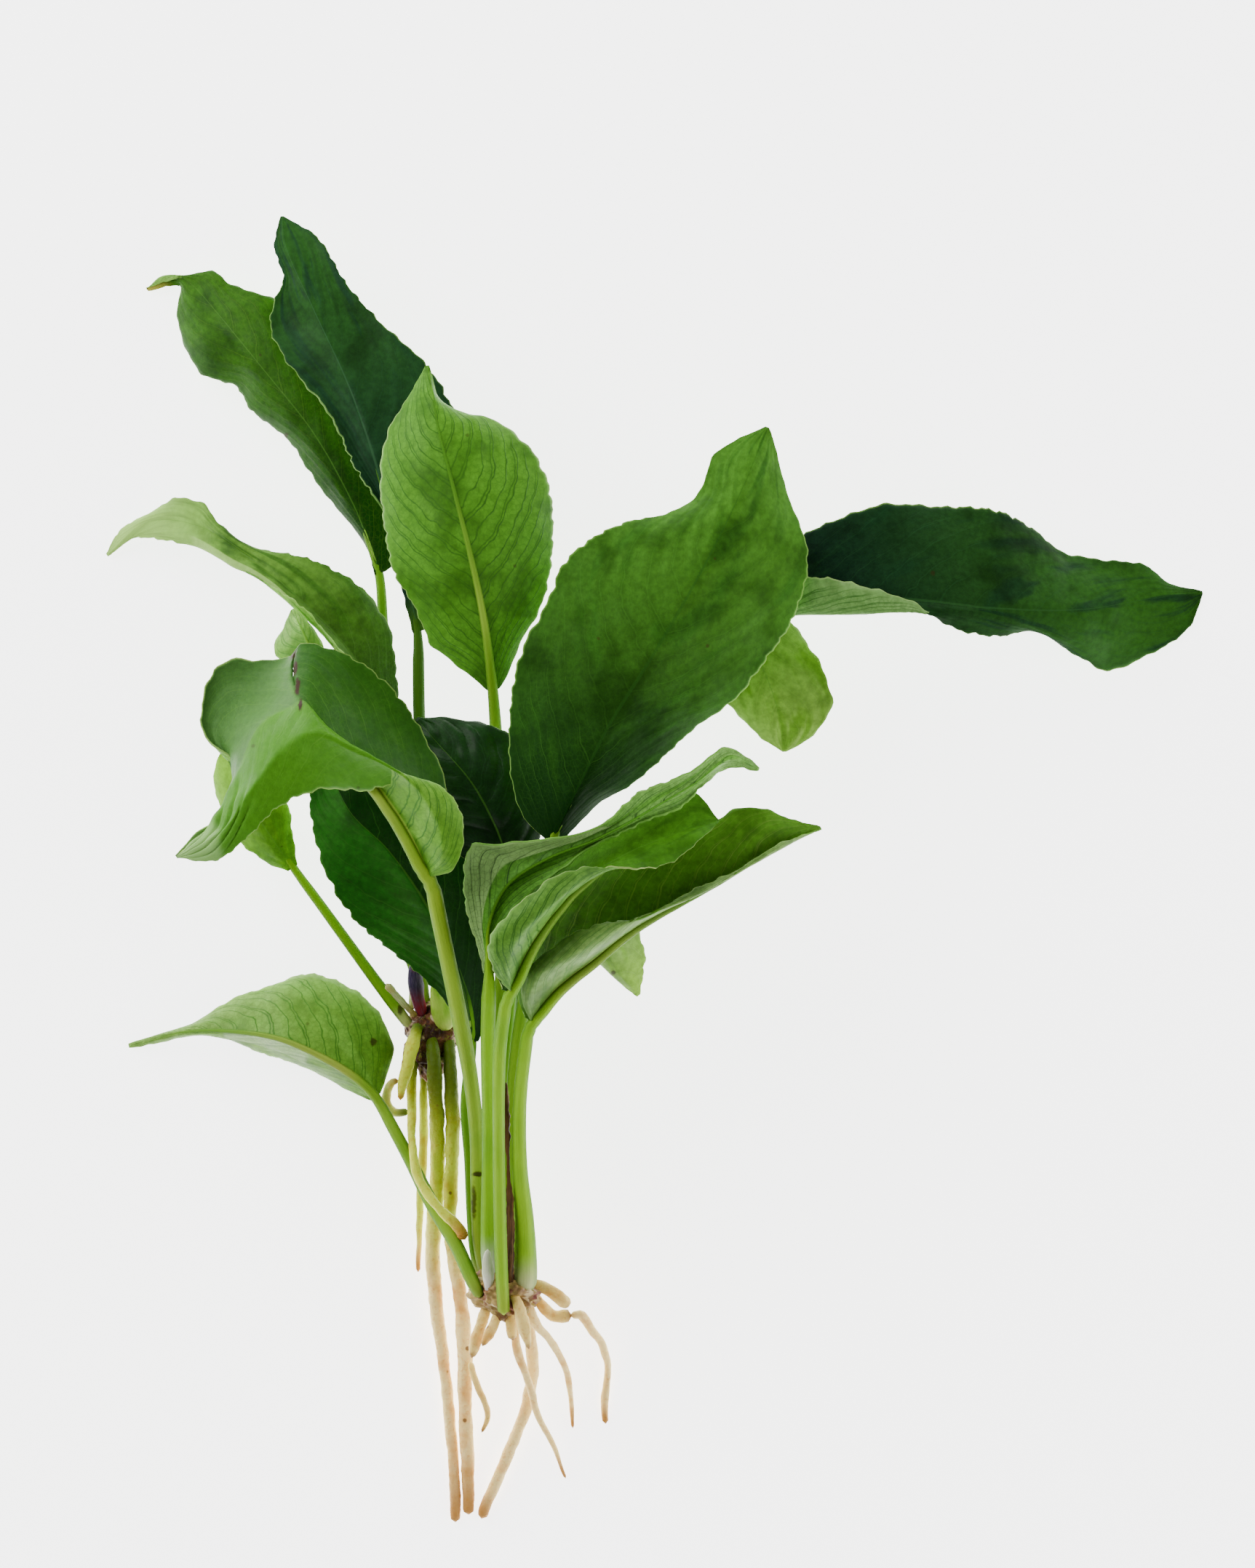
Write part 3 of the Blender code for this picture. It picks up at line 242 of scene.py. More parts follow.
# Blades. Every line runs from the stalk to the tip, and left and right are as seen from above.
# left and right are the edges between the two ends. left_belly and right_belly are the lines halfway
# from the midrib to an edge, given where a half is rolled or folded, and cup bends a plain half instead.
BLADES = {
    "back_left": dict(
        mid=[(-68, 58, 24), (-75, 76, 25), (-86, 96, 24), (-101, 115, 20), (-114, 131, 12), (-122, 139, 6),
             (-128, 139.5, 2.5), (-132, 136, 0.9)],
        left=[(-71, 64, 22), (-80, 76, 19), (-91, 92, 17), (-103, 103, 13), (-107, 110, 11), (-117, 113, 7),
              (-122, 121, 4), (-123.5, 130, 3), (-122.5, 137, 4)],
        right=[(-64, 61, 23), (-64, 76, 22), (-72, 95, 20), (-83, 115, 17), (-96, 132, 15), (-108, 136.5, 11),
               (-114, 141, 8), (-121, 140, 6.2)],
        cup=1.5),
    "back_dark": dict(
        mid=[(-57.5, 42, 34), (-62, 62, 37), (-68, 84, 37), (-76, 108, 33), (-87, 132, 26), (-94, 148, 19),
             (-95, 156, 15)],
        left=[(-61, 50, 35), (-67, 75, 37), (-75, 88, 36), (-83, 103, 33), (-94, 117, 28), (-98, 125, 24),
              (-97, 133, 23), (-94.5, 139, 22), (-97, 148, 18)],
        right=[(-52, 50, 33), (-47, 75, 32), (-45, 95, 31), (-48, 103, 30), (-53, 112, 29), (-60, 120, 28),
               (-66, 125, 27), (-77, 137, 24), (-85, 150, 19)],
        cup=-1.5),
    "middle": dict(
        mid=[(-37, 26, 50), (-39.5, 45, 55), (-43, 62, 58), (-47.5, 80, 58), (-52, 98, 55), (-55, 115, 49)],
        left=[(-43, 30, 50), (-51, 36, 50), (-54, 38, 50), (-59, 50, 50), (-64, 60, 49), (-68, 80, 48), (-66, 95, 48),
              (-60, 107, 48)],
        right=[(-33, 30, 50), (-29, 40, 50), (-24, 50, 49), (-20.5, 66, 47), (-21.5, 80, 46), (-28, 93, 46),
               (-38, 101, 47), (-44, 102, 49), (-52, 106, 49)],
        cup=2.5, under_up=True),
    "big_front": dict(
        mid=[(-21, -16, 64), (-14, -2, 71), (-5, 16, 75), (8, 37, 76), (20, 58, 72), (31, 80, 64), (38.5, 98, 54)],
        left=[(-29, -8, 62), (-32.5, 10, 62), (-32, 25, 62), (-28, 38, 62), (-22, 50, 62), (-18, 60, 61),
              (-10, 67, 60), (0, 71.5, 59), (12, 75, 58), (20, 80, 57), (24, 90, 55), (31, 95, 54)],
        right=[(-14, -11, 60), (-7, -5, 59), (0, -1, 58), (9, 8, 57), (18, 15, 56), (28, 22, 55), (37, 34, 54),
               (45, 44, 53), (48.5, 55, 52), (48.5, 65, 52), (45, 77, 52), (41, 91, 52)],
        cup=2.0),
    "far_right": dict(
        mid=[(33, 46, 34), (48, 50, 40), (65, 51, 43), (84, 50, 42), (104, 48, 35), (125, 48, 23), (144, 51, 8),
             (158, 52.5, 0.5)],
        left=[(35, 58, 33), (49, 69, 33), (60, 73.5, 32), (72, 76.5, 30), (86, 76.5, 27), (100, 75, 23),
              (111, 70, 17), (120, 63.5, 12), (132, 61, 7), (142, 60, 3), (149, 55, 1.2)],
        right=[(36, 49, 40), (46, 56, 47), (55, 56.5, 49), (66, 54, 49), (76, 51, 47), (83, 47, 44), (90, 43, 38),
               (102, 41, 31), (113, 41.5, 25), (124, 36, 14), (132, 31, 5), (142, 35, 2), (154, 43, 0.8)],
        right_belly=[(36, 46, 39), (50, 47, 45), (70, 47, 47), (84, 47, 44), (95, 46, 39), (108, 44, 32),
                     (124, 41, 21), (138, 43, 9.5), (152, 48, 2.5)],
        cup=1.0),
    "small_yellow": dict(
        mid=[(22, 58, 25), (31, 45, 28), (38, 30, 27), (42, 18, 22), (43, 9, 16)],
        left=[(34, 60, 23), (46, 44, 23), (52, 34, 23), (55.8, 24, 21.5), (54.7, 19, 20), (51.3, 14, 18),
              (47, 10.6, 16.5)],
        right=[(18, 48, 23), (20, 34, 22), (25, 24.5, 21), (30, 19.5, 20), (36, 13.8, 18), (40.5, 10.6, 16.5)],
        cup=1.0),
    "long_left": dict(
        mid=[(-67, 12, 29), (-70, 26, 34), (-79, 40, 38), (-92, 53, 37), (-105, 63, 30), (-118, 71, 20),
             (-132, 72, 9), (-143, 63, 0.9)],
        left=[(-72, 18, 34), (-76, 33, 43), (-84, 43, 45), (-93, 51, 42), (-104, 58, 34), (-114, 63, 22),
              (-126, 67, 12), (-137, 67.5, 4)],
        left_belly=[(-72, 20, 40), (-79, 35, 45), (-87, 45, 44), (-98, 55, 38), (-109, 61, 29), (-120, 67, 18),
                    (-133, 69, 7)],
        right=[(-63, 18, 28), (-64.5, 35, 30), (-66, 44, 31), (-72, 53, 31), (-80, 58, 31), (-90, 62, 30),
               (-104, 66, 29), (-112, 71, 24), (-117, 77, 19), (-124, 78.5, 15), (-131, 75, 9), (-139, 70, 3)],
        cup=1.0),
    "small_curled": dict(
        mid=[(-84, 28, 47), (-86, 35, 50), (-89, 42, 50), (-92, 48, 46)],
        left=[(-89, 31, 46), (-96, 36, 42), (-94, 43, 42)],
        right=[(-82, 32, 48), (-83.5, 38, 50), (-87, 44, 49)],
        cup=0.6, under_up=True),
    "folded_front": dict(
        mid=[(-54, -25, 84), (-58, -17, 87), (-64, -7, 89), (-72, 3, 90), (-81, 13, 90), (-88.3, 22.4, 88.5),
             (-89.9, 22.9, 87.5), (-91.8, 21.8, 86), (-101, 16, 78), (-108, 2, 74), (-115, -11, 74), (-124, -20, 73)],
        right=[(-53, -18, 74), (-50, -8, 68), (-50, 2, 67), (-55, 12, 68), (-60, 20, 69), (-67, 28, 70),
               (-76, 34.5, 71), (-85, 38.4, 72), (-89.9, 38.8, 71.5), (-91.8, 37, 69.5), (-93.6, 34.7, 66),
               (-100, 33.9, 63.5), (-107, 34.5, 61), (-114, 31, 59), (-117, 20, 60), (-115, 13, 62), (-108, 7, 66),
               (-106, -2, 69), (-111, -9, 71), (-118, -13, 72)],
        right_belly=[(-54, -19, 80), (-54.5, -10, 78), (-58, -2, 77.5), (-64, 8, 77), (-71.5, 17.5, 77),
                     (-79, 25.5, 78), (-86.5, 31, 79.5), (-90.7, 30.8, 78), (-92.5, 29.5, 76), (-100, 26, 66),
                     (-107.5, 22, 61.5), (-111.5, 13.5, 62), (-109, 5, 65), (-107.5, -4, 68), (-113, -12, 71)],
        left=[(-48, -23, 89), (-45, -15, 93), (-46, -7, 95), (-52, -1, 96), (-62, 1, 95), (-72, -1, 91),
              (-80, -1, 89), (-88, -2.5, 88), (-97, -7, 85), (-104, -14, 81), (-113, -21, 78)],
        left_belly=[(-51, -20, 92), (-52, -11, 97), (-57, -2, 100), (-65, 4.5, 101), (-75, 9.5, 100), (-86, 14, 98),
                    (-95, 9, 91), (-104, -2, 86), (-112, -13, 80)],
        cup=1.0),
    "dark_left": dict(
        mid=[(-42.5, -71, 37), (-44.3, -60, 41), (-48, -48, 43.5), (-56, -32, 46), (-66, -18, 45), (-76, -8, 41),
             (-82, 4, 36)],
        left=[(-46, -66, 35), (-50, -59.5, 35), (-57, -52, 36), (-66, -45, 37), (-75, -37, 38), (-82, -26, 38),
              (-86, -14, 37), (-87, -2, 35)],
        right=[(-39.6, -66, 36), (-38.4, -58, 37.5), (-38.3, -38, 38.5), (-44, -20, 40), (-55, -6, 40), (-68, 3, 38)],
        cup=-1.5),
    "wrinkled": dict(
        mid=[(-32, -24, 47), (-37, -10, 52), (-44, 2, 54), (-52, 11, 51), (-58, 18, 47)],
        left=[(-41, -22, 45), (-52, -14, 46), (-60, -2, 47), (-61, 10, 46)],
        right=[(-24, -14, 48), (-24, 0, 49), (-31, 11, 50), (-39, 16, 50), (-49, 18.5, 49)],
        cup=2.0),
    "rolled": dict(
        mid=[(-38, -52, 74), (-38, -39, 77), (-33, -28, 79), (-22, -20.5, 80), (-8, -14.5, 80), (6, -7, 78),
             (18, 0, 74), (28, 7, 68), (36, 4, 61)],
        left=[(-41, -45, 75), (-44, -36, 77), (-45, -25, 79), (-43, -17, 80), (-36, -17, 82), (-26, -16.3, 83),
              (-15, -13.5, 83), (-6, -10, 82), (3, -3, 80), (11, 0, 78), (18, 4, 75), (26, 10, 69), (32, 8, 65)],
        right=[(-36, -45, 76), (-32.5, -36.5, 78), (-25.5, -28.5, 79), (-16, -22.3, 79.5), (-7, -15.7, 79),
               (4, -10.5, 77.5), (14, -7, 74), (21, 0, 71), (28, 4.5, 66)],
        cup=-1.5, under_up=True),
    "folded_right": dict(
        mid=[(-33, -57, 81), (-29, -48, 84), (-23, -38, 85), (-14, -28, 84), (-2, -20, 81), (12, -14, 76),
             (25, -10, 70)],
        left=[(-36, -50, 70), (-35, -38, 66), (-26, -26, 66), (-14, -16, 67), (0, -8, 68), (10, -3, 68),
              (18, -2, 67)],
        right=[(-36.5, -51, 89), (-38.3, -44, 94), (-35, -38, 96), (-27, -31, 97), (-18, -25, 96), (-8, -23, 91),
               (3, -23.3, 86), (12, -21.5, 81), (19, -16, 77)],
        right_belly=[(-33, -50, 90), (-30, -42, 96), (-22, -34, 98), (-13, -27, 94), (-3, -22.5, 87), (8, -19, 82),
                     (18, -13.5, 76)],
        cup=-2.5),
    "right": dict(
        mid=[(-27, -65, 66), (-20, -56.5, 70), (-11, -49, 71), (-2, -42, 70), (10, -34.5, 67), (25, -27, 62),
             (40, -18, 55), (53, -12, 46)],
        left=[(-30, -58, 60), (-30, -45, 57), (-20, -32, 57), (-5, -21, 58), (10, -14, 58), (24, -10, 57),
              (31, -6.5, 56), (38, -7, 54), (45, -10, 50)],
        right=[(-29, -59, 72), (-28.5, -52, 78), (-22, -46, 81), (-13, -41, 81), (-4, -38, 79), (4, -36, 75),
               (13, -32.5, 71), (27, -25.5, 66), (41, -17, 58.5)],
        right_belly=[(-27, -59, 74), (-22, -52, 80), (-13, -46, 82), (-4, -41, 79), (8, -35, 74), (25, -27.5, 67),
                     (40, -18.5, 59)],
        cup=1.0),
    "hanging": dict(
        mid=[(-12, -33, 44), (-8, -42, 46), (-3, -51, 38), (3, -58, 28)],
        left=[(-2, -33, 40), (3, -41, 38), (4, -49, 33)],
        right=[(-16, -40, 41), (-10, -47, 38), (-3, -54, 31)],
        cup=0.5),
    "lower_left": dict(
        mid=[(-69, -86, 18), (-75, -80.5, 21), (-84, -75, 23), (-96, -70, 22), (-110, -68, 15), (-122, -68.3, 8),
             (-137, -72, 0.9)],
        right=[(-66.5, -81, 15), (-64.5, -73, 13), (-69, -63, 12), (-77, -56, 11), (-88, -52, 10), (-98, -55.5, 10),
               (-108, -60, 9), (-118, -65.5, 7), (-127, -68, 4)],
        left=[(-74, -85, 15), (-85, -80, 11), (-97, -74, 9), (-110, -70.5, 7), (-122, -69.5, 5)],
        cup=2.0, under_up=True),
    "small_left": dict(
        mid=[(-92, -23, 15), (-97, -16, 18), (-103, -7, 19), (-108, 1, 16), (-111, 9, 11)],
        left=[(-98, -22, 13), (-105, -16, 11), (-111, -8, 9), (-114, 0, 9), (-113, 6, 10)],
        right=[(-92, -16, 16), (-93, -6, 18), (-98, 4, 18), (-105, 9, 14)],
        cup=0.8),
}

# Stalks and roots: the points that each follows, as x, y, z and the radius there.
STALKS = {
    "back_left": [
        (-55.5, -62, 12.5, 1.5), (-57.5, -45, 15, 1.5), (-60.5, -20, 21, 1.5), (-65.5, 20, 21.5, 1.4),
        (-68, 58, 24, 1.3)],
    "back_dark": [
        (-51, -62, 12.5, 1.6), (-52.5, -45, 17, 1.7), (-56, -15, 25, 1.7), (-57.3, 20, 31, 1.6),
        (-57.5, 42, 34, 1.5)],
    "middle": [
        (-35.3, -135, 25, 1.5), (-36, -90, 32, 1.7), (-34.5, -45, 37, 1.7), (-34.5, -10, 43, 1.6),
        (-36, 12, 47.5, 1.6), (-37, 26, 50, 1.5)],
    "big_front": [
        (-32, -135, 26, 2.0), (-32.3, -105, 31, 1.9), (-30.5, -75, 37, 1.9), (-26, -45, 48, 1.8),
        (-21, -16, 64, 1.7)],
    "far_right": [
        (-29.5, -135, 19, 1.7), (-31, -95, 18.5, 1.6), (-30, -66, 20, 1.6), (-26, -40, 22, 1.6), (-20, -14, 24, 1.6),
        (-8, 10, 27, 1.6), (12, 32, 31, 1.5), (33, 46, 34, 1.5)],
    "small_yellow": [
        (-33.5, -134, 17, 1.3), (-34.5, -95, 17, 1.2), (-32, -60, 18, 1.2), (-24, 0, 20, 1.2), (-7, 45, 23, 1.2),
        (10, 60, 25, 1.1), (22, 58, 25, 1.0)],
    "long_left": [
        (-57, -63, 8.5, 1.4), (-58.5, -50, 9, 1.5), (-64, -30, 14, 1.6), (-69, 0, 23, 1.6), (-67, 12, 29, 1.5)],
    "small_curled": [
        (-59.2, -62.5, 14, 1.0), (-59.5, -50, 18, 1.0), (-68, -36, 17, 1.0), (-78, -15, 19, 1.0), (-86, 5, 27, 0.9),
        (-84, 28, 47, 0.9)],
    "folded_front": [
        (-38.5, -138, 24, 1.6), (-40.8, -126, 26, 1.7), (-41.3, -112, 30, 1.8), (-41.5, -97, 37, 1.9),
        (-43, -82, 47, 2.0), (-46, -65, 61, 2.2), (-49.5, -48, 73, 2.1), (-52.6, -33, 81, 2.1), (-54, -25, 84, 2.0)],
    "dark_left": [
        (-40.2, -139, 18.5, 1.2), (-42.3, -126, 20, 1.4), (-43.5, -103, 26, 1.4), (-44.5, -88, 30, 1.4),
        (-42.5, -71, 37, 1.4)],
    "wrinkled": [
        (-35, -134, 21, 1.4), (-35, -95, 23, 1.4), (-32, -60, 28, 1.3), (-30, -42, 35, 1.3), (-32, -24, 47, 1.3)],
    "rolled": [
        (-37.6, -136, 29, 2.0), (-38.2, -128, 34, 2.1), (-38.1, -97, 47, 1.8), (-38.4, -71, 62, 1.9),
        (-38, -52, 74, 1.9)],
    "folded_right": [
        (-34, -146, 32, 1.6), (-34.8, -129, 41, 1.7), (-35.4, -97, 56, 1.6), (-35.1, -74, 70, 1.7),
        (-33, -57, 81, 1.7)],
    "right": [
        (-28.3, -140.3, 29, 1.6), (-28.1, -137.5, 29.5, 2.9), (-28, -133, 31, 3.1), (-28.3, -120, 37, 2.5),
        (-29.6, -105, 44, 2.0), (-29.5, -86, 53.5, 1.8), (-27, -65, 66, 1.7)],
    "hanging": [
        (-29.6, -133.5, 23, 1.1), (-29.3, -100, 27.5, 1.1), (-28.5, -68, 33, 1.0), (-24, -42, 40, 0.9),
        (-17, -29.5, 44.5, 0.9), (-12, -33, 44, 0.9)],
    "lower_left": [
        (-40, -141.5, 28.5, 1.4), (-42.5, -137, 29.5, 1.8), (-47, -127, 26, 1.9), (-54, -115, 22, 1.9),
        (-60, -103, 20, 1.7), (-65.3, -93, 18.8, 1.6), (-69, -86, 18, 1.5)],
    "small_left": [
        (-59.5, -67, 15.5, 1.4), (-64, -61, 17, 1.6), (-70, -53, 17, 1.5), (-78, -42, 17, 1.4), (-86, -31, 16, 1.3),
        (-92, -23, 15, 1.2)],
}
ROOTS = {
    "root_stubby": [
        (-57.7, -66.6, 19.8, 1.5), (-58.8, -70.5, 22, 1.8), (-60.2, -76, 22.5, 1.7), (-61.8, -82, 21.5, 1.4),
        (-62.6, -87, 20, 0.7)],
    "root_knotted": [
        (-58.3, -72, 15, 1.4), (-59.1, -80, 16, 1.4), (-59.2, -90, 15.5, 1.3), (-59.5, -97, 19.5, 1.1),
        (-58.8, -102.5, 23.5, 1.2), (-57.5, -107.9, 25.2, 1.3), (-55.2, -111.9, 26.6, 1.3), (-51.9, -116.6, 28, 1.3),
        (-46.5, -122.3, 28, 1.5), (-44.8, -125.2, 27, 1.6)],
    "root_left_long": [
        (-54, -70, 18.5, 1.5), (-53.3, -77, 21.5, 2.0), (-52.8, -88, 17.5, 2.1), (-52.2, -100, 12.5, 2.1),
        (-52.4, -112, 9.5, 2.0), (-53.5, -125, 7.5, 2.1), (-53, -140, 6, 1.9), (-51, -155, 4.5, 1.7),
        (-49.3, -170, 3, 1.6), (-47.8, -186, 1.8, 1.6), (-47.3, -203, 1.5, 1.4)],
    "root_right_long": [
        (-49, -71, 17, 1.5), (-48.6, -80, 19.5, 1.9), (-48.2, -92, 16, 1.9), (-48.4, -106, 13, 1.9),
        (-48.6, -126, 10, 1.8), (-46, -140, 8.5, 1.9), (-44.9, -155, 7, 2.1), (-44.6, -170, 5, 2.0),
        (-44, -186, 3, 1.8), (-43.6, -201, 1.7, 1.5)],
    "root_pale_inner": [
        (-56, -76, 10, 1.1), (-56, -90, 8, 1.2), (-56.2, -104, 5, 1.2), (-57, -116, 3.5, 1.0),
        (-57.6, -134, 1.3, 0.6)],
    "root_loop": [
        (-29, -143, 18.5, 1.4), (-27, -151, 15, 1.6), (-26.2, -160, 10, 1.7), (-27.3, -170, 6.5, 1.7),
        (-31, -180, 4.5, 1.6), (-35.2, -190, 3, 1.6), (-38.5, -197, 2, 1.6), (-40.2, -202, 1.6, 1.4)],
    "root_right_thin": [
        (-32, -144, 20, 1.1), (-29.8, -157, 18, 1.2), (-26.5, -167, 13, 1.0), (-24, -175, 9, 0.9),
        (-20, -183, 4.5, 0.7), (-17, -191, 1.2, 0.4)],
    "root_faint": [
        (-27.8, -141.5, 25.5, 1.5), (-26.3, -146.5, 25.5, 1.6), (-24.4, -149.5, 24, 1.3), (-21.8, -152.3, 21, 1.1),
        (-19.2, -156, 17, 1.0), (-16.5, -162.7, 10, 0.9), (-15.4, -170, 4, 0.7), (-15, -177, 1.2, 0.4)],
    "root_far_right": [
        (-14.6, -146.1, 16.9, 1.1), (-13, -146, 16.5, 1.3), (-11.2, -147.7, 15, 1.3), (-9.5, -150.4, 12.5, 1.2),
        (-7.2, -153.7, 9, 1.1), (-5.8, -157.7, 5.5, 1.0), (-5.5, -161, 3.2, 1.0), (-5.9, -165.5, 1.8, 1.0),
        (-6.3, -169, 1.3, 1.1), (-6.1, -176, 1.0, 0.8)],
}
STUBS = {
    "stub_long": [
        (-38.3, -143, 23.5, 1.4), (-40.3, -149, 23.5, 1.6), (-42, -155, 23, 1.5), (-42.9, -157.8, 22.8, 0.6)],
    "stub_pink_left": [(-35.6, -146, 26.2, 1.2), (-37.6, -150.5, 27.6, 1.5), (-40, -154.6, 28, 0.6)],
    "stub_pink_right": [(-32.6, -145.5, 26, 1.1), (-32, -149.5, 26.8, 1.4), (-31.5, -153, 27, 1.3)],
    "stub_pointed": [
        (-31.2, -141, 31.8, 1.1), (-29.8, -144.4, 32.5, 1.6), (-28.2, -150.4, 32.5, 1.7), (-27, -155.4, 31.5, 0.5)],
    "stub_branch_upper": [
        (-25.5, -137.3, 23.5, 1.5), (-21, -139.6, 23.5, 1.8), (-17.6, -142.4, 22, 1.8), (-16.3, -144, 21, 1.4)],
    "stub_branch_lower": [
        (-25.5, -140.8, 19.5, 1.3), (-22.4, -144.6, 18.2, 1.6), (-20, -146.3, 17.5, 1.6), (-15.4, -146.3, 17, 1.9)],
    "rootlet_brown": [
        (-43, -160, 9.6, 0.9), (-41, -166, 9, 0.9), (-39, -171, 7, 0.9), (-38.6, -175, 5, 0.8),
        (-40, -178.5, 3.5, 0.4)],
    "rootlet_hook": [
        (-61, -90.3, 13, 1.0), (-64, -90.3, 13, 1.3), (-66.2, -87.5, 13.5, 1.3), (-66, -84, 14, 1.2),
        (-64.6, -82, 14.5, 1.0), (-62.8, -81.7, 15, 0.7)],
}
SHEATHS = {
    "sheath_purple": [(-56.5, -63, 17, 1.5), (-58.3, -55, 23, 2.2), (-58.6, -51, 26, 1.8), (-58, -47.5, 28, 0.7)],
    "bud_green": [(-50.3, -66.5, 18, 2.6), (-50.8, -62.5, 22, 3.0), (-52.2, -58, 25, 2.2), (-53.3, -54.5, 27, 0.7)],
    "stalk_broken": [(-58.6, -63.4, 18.5, 0.8), (-62, -60, 21.5, 0.9), (-66.5, -54.8, 22.5, 1.1)],
    "sheath_brown": [
        (-32, -137.5, 31.5, 0.8), (-32.3, -133.5, 34, 0.9), (-32.2, -124, 38, 1.1), (-32.4, -113, 41.5, 0.9),
        (-32.9, -105, 44, 0.4), (-33.3, -98, 46.5, 0.8), (-33.6, -88, 49.5, 0.9), (-33.6, -82, 51, 0.4)],
    "sheath_pale": [(-37.9, -139, 31.5, 1.2), (-38.4, -133.5, 35.8, 1.6), (-38.4, -128, 38.6, 0.6)],
}
# Rhizomes: centre, half sizes and the turn about the upright in degrees.
RHIZOMES = {
    "rhizome_upper": ((-53.5, -70, 13), (7.2, 11, 6.5), -10),
    "rhizome_crown": ((-33.5, -139.5, 24.5), (9.5, 7.5, 9.0), -15),
}


def seen_at(places):
    """World places, in metres, of points that the eye above sees at x, y of the plan."""
    places = np.asarray(places, dtype=float)
    shrink = 1 - places[..., 2] / EYE_HEIGHT
    return np.stack([places[..., 0] * shrink - CENTRE[0], places[..., 1] * shrink - CENTRE[1], places[..., 2]],
                    axis=-1) * MM


def line_through(points, count):
    """Evenly spaced places on a smooth line through the points, from the first one to the last."""
    points = np.asarray(points, dtype=float)
    gaps = np.maximum(np.linalg.norm(np.diff(points[:, :3], axis=0), axis=1), 1e-6)
    reached = np.concatenate([[0], np.cumsum(gaps)])
    last = len(points) - 1
    low = np.maximum(np.arange(last + 1) - 1, 0)
    high = np.minimum(np.arange(last + 1) + 1, last)
    slopes = (points[high] - points[low]) / (reached[high] - reached[low])[:, None]
    along = np.linspace(0, reached[-1], count)
    i = np.clip(np.searchsorted(reached, along, side="right") - 1, 0, last - 1)
    s = ((along - reached[i]) / gaps[i])[:, None]
    reach = gaps[i][:, None]
    return ((2 * s**3 - 3 * s**2 + 1) * points[i] + (s**3 - 2 * s**2 + s) * reach * slopes[i]
            + (3 * s**2 - 2 * s**3) * points[i + 1] + (s**3 - s**2) * reach * slopes[i + 1])


def length_of(points):
    """The length of a line through the points, in their own unit."""
    return float(np.linalg.norm(np.diff(np.asarray(points, dtype=float)[:, :3], axis=0), axis=1).sum())


def with_ends(line, mid, side, reach):
    """A line with its two ends on the blade's base and tip: side is 1 for left and -1 for right."""
    def beside(place, a, b, width):
        way = Vector((b[0] - a[0], b[1] - a[1])).normalized()
        out = width / 2 * side * reach
        return place[0] - way.y * out, place[1] + way.x * out, place[2]

    return [beside(mid[0], mid[0], mid[1], BASE_WIDTH), *line, beside(mid[-1], mid[-2], mid[-1], TIP_WIDTH)]


def blade_surface(name, stations, strips):
    """A blade's plan places: rows from its stalk to its tip, columns from its right edge to its left one."""
    blade = BLADES[name]
    u = np.linspace(0, 1, stations)
    v = np.linspace(-1, 1, strips)
    middle = line_through(blade["mid"], stations)
    surface = np.zeros((stations, strips, 3))
    for side, half in ((1, "left"), (-1, "right")):
        edge = line_through(with_ends(blade[half], blade["mid"], side, 1.0), stations)
        if half + "_belly" in blade:
            belly = line_through(with_ends(blade[half + "_belly"], blade["mid"], side, 0.5), stations)
        else:
            belly = (middle + edge) / 2
            belly[:, 2] += blade["cup"] * np.sin(math.pi * u)
        mine = v >= 0 if side > 0 else v < 0
        w = np.abs(v[mine])[None, :, None]
        crisp = CRISP_FOLDS.get((name, half), 0.0)
        shares = ((1 - w) * (1 - 2 * w), 4 * w * (1 - w), w * (2 * w - 1))
        sharp_shares = (np.maximum(1 - 2 * w, 0), 1 - np.abs(2 * w - 1), np.maximum(2 * w - 1, 0))
        for share, sharp, line in zip(shares, sharp_shares, (middle, belly, edge)):
            surface[:, mine] += ((1 - crisp) * share + crisp * sharp) * line[:, None]
    return surface


def spot_on(node, x, y):
    """World place of the spot of a blade or stalk that the eye above sees at x, y of the plan."""
    kind, name = node.split("_", 1)
    if kind == "blade":
        surface = blade_surface(name, 81, 41).reshape(-1, 3)
    else:
        surface = line_through(STALKS[name], 81)[:, :3]
    away = np.hypot(surface[:, 0] - x, surface[:, 1] - y)
    height = surface[away < away.min() + 1.5, 2].max()
    return seen_at((x, y, height))


def unit(vectors):
    return vectors / np.maximum(np.linalg.norm(vectors, axis=-1, keepdims=True), 1e-12)


def vein_count(length):
    """How many strong side veins each half of a blade has."""
    return max(4, round(length / VEIN_SPACING))


def smooth_step(x, low, high):
    t = np.clip((x - low) / (high - low), 0, 1)
    return t * t * (3 - 2 * t)


def noise_field(places, scale, seed):
    """Smooth noise from -1 to 1 at each place, with bumps about 1 / scale across."""
    flat = places.reshape(-1, 3) * scale + seed * 7.13
    return np.array([noise.noise(Vector(p)) for p in flat]).reshape(places.shape[:-1])


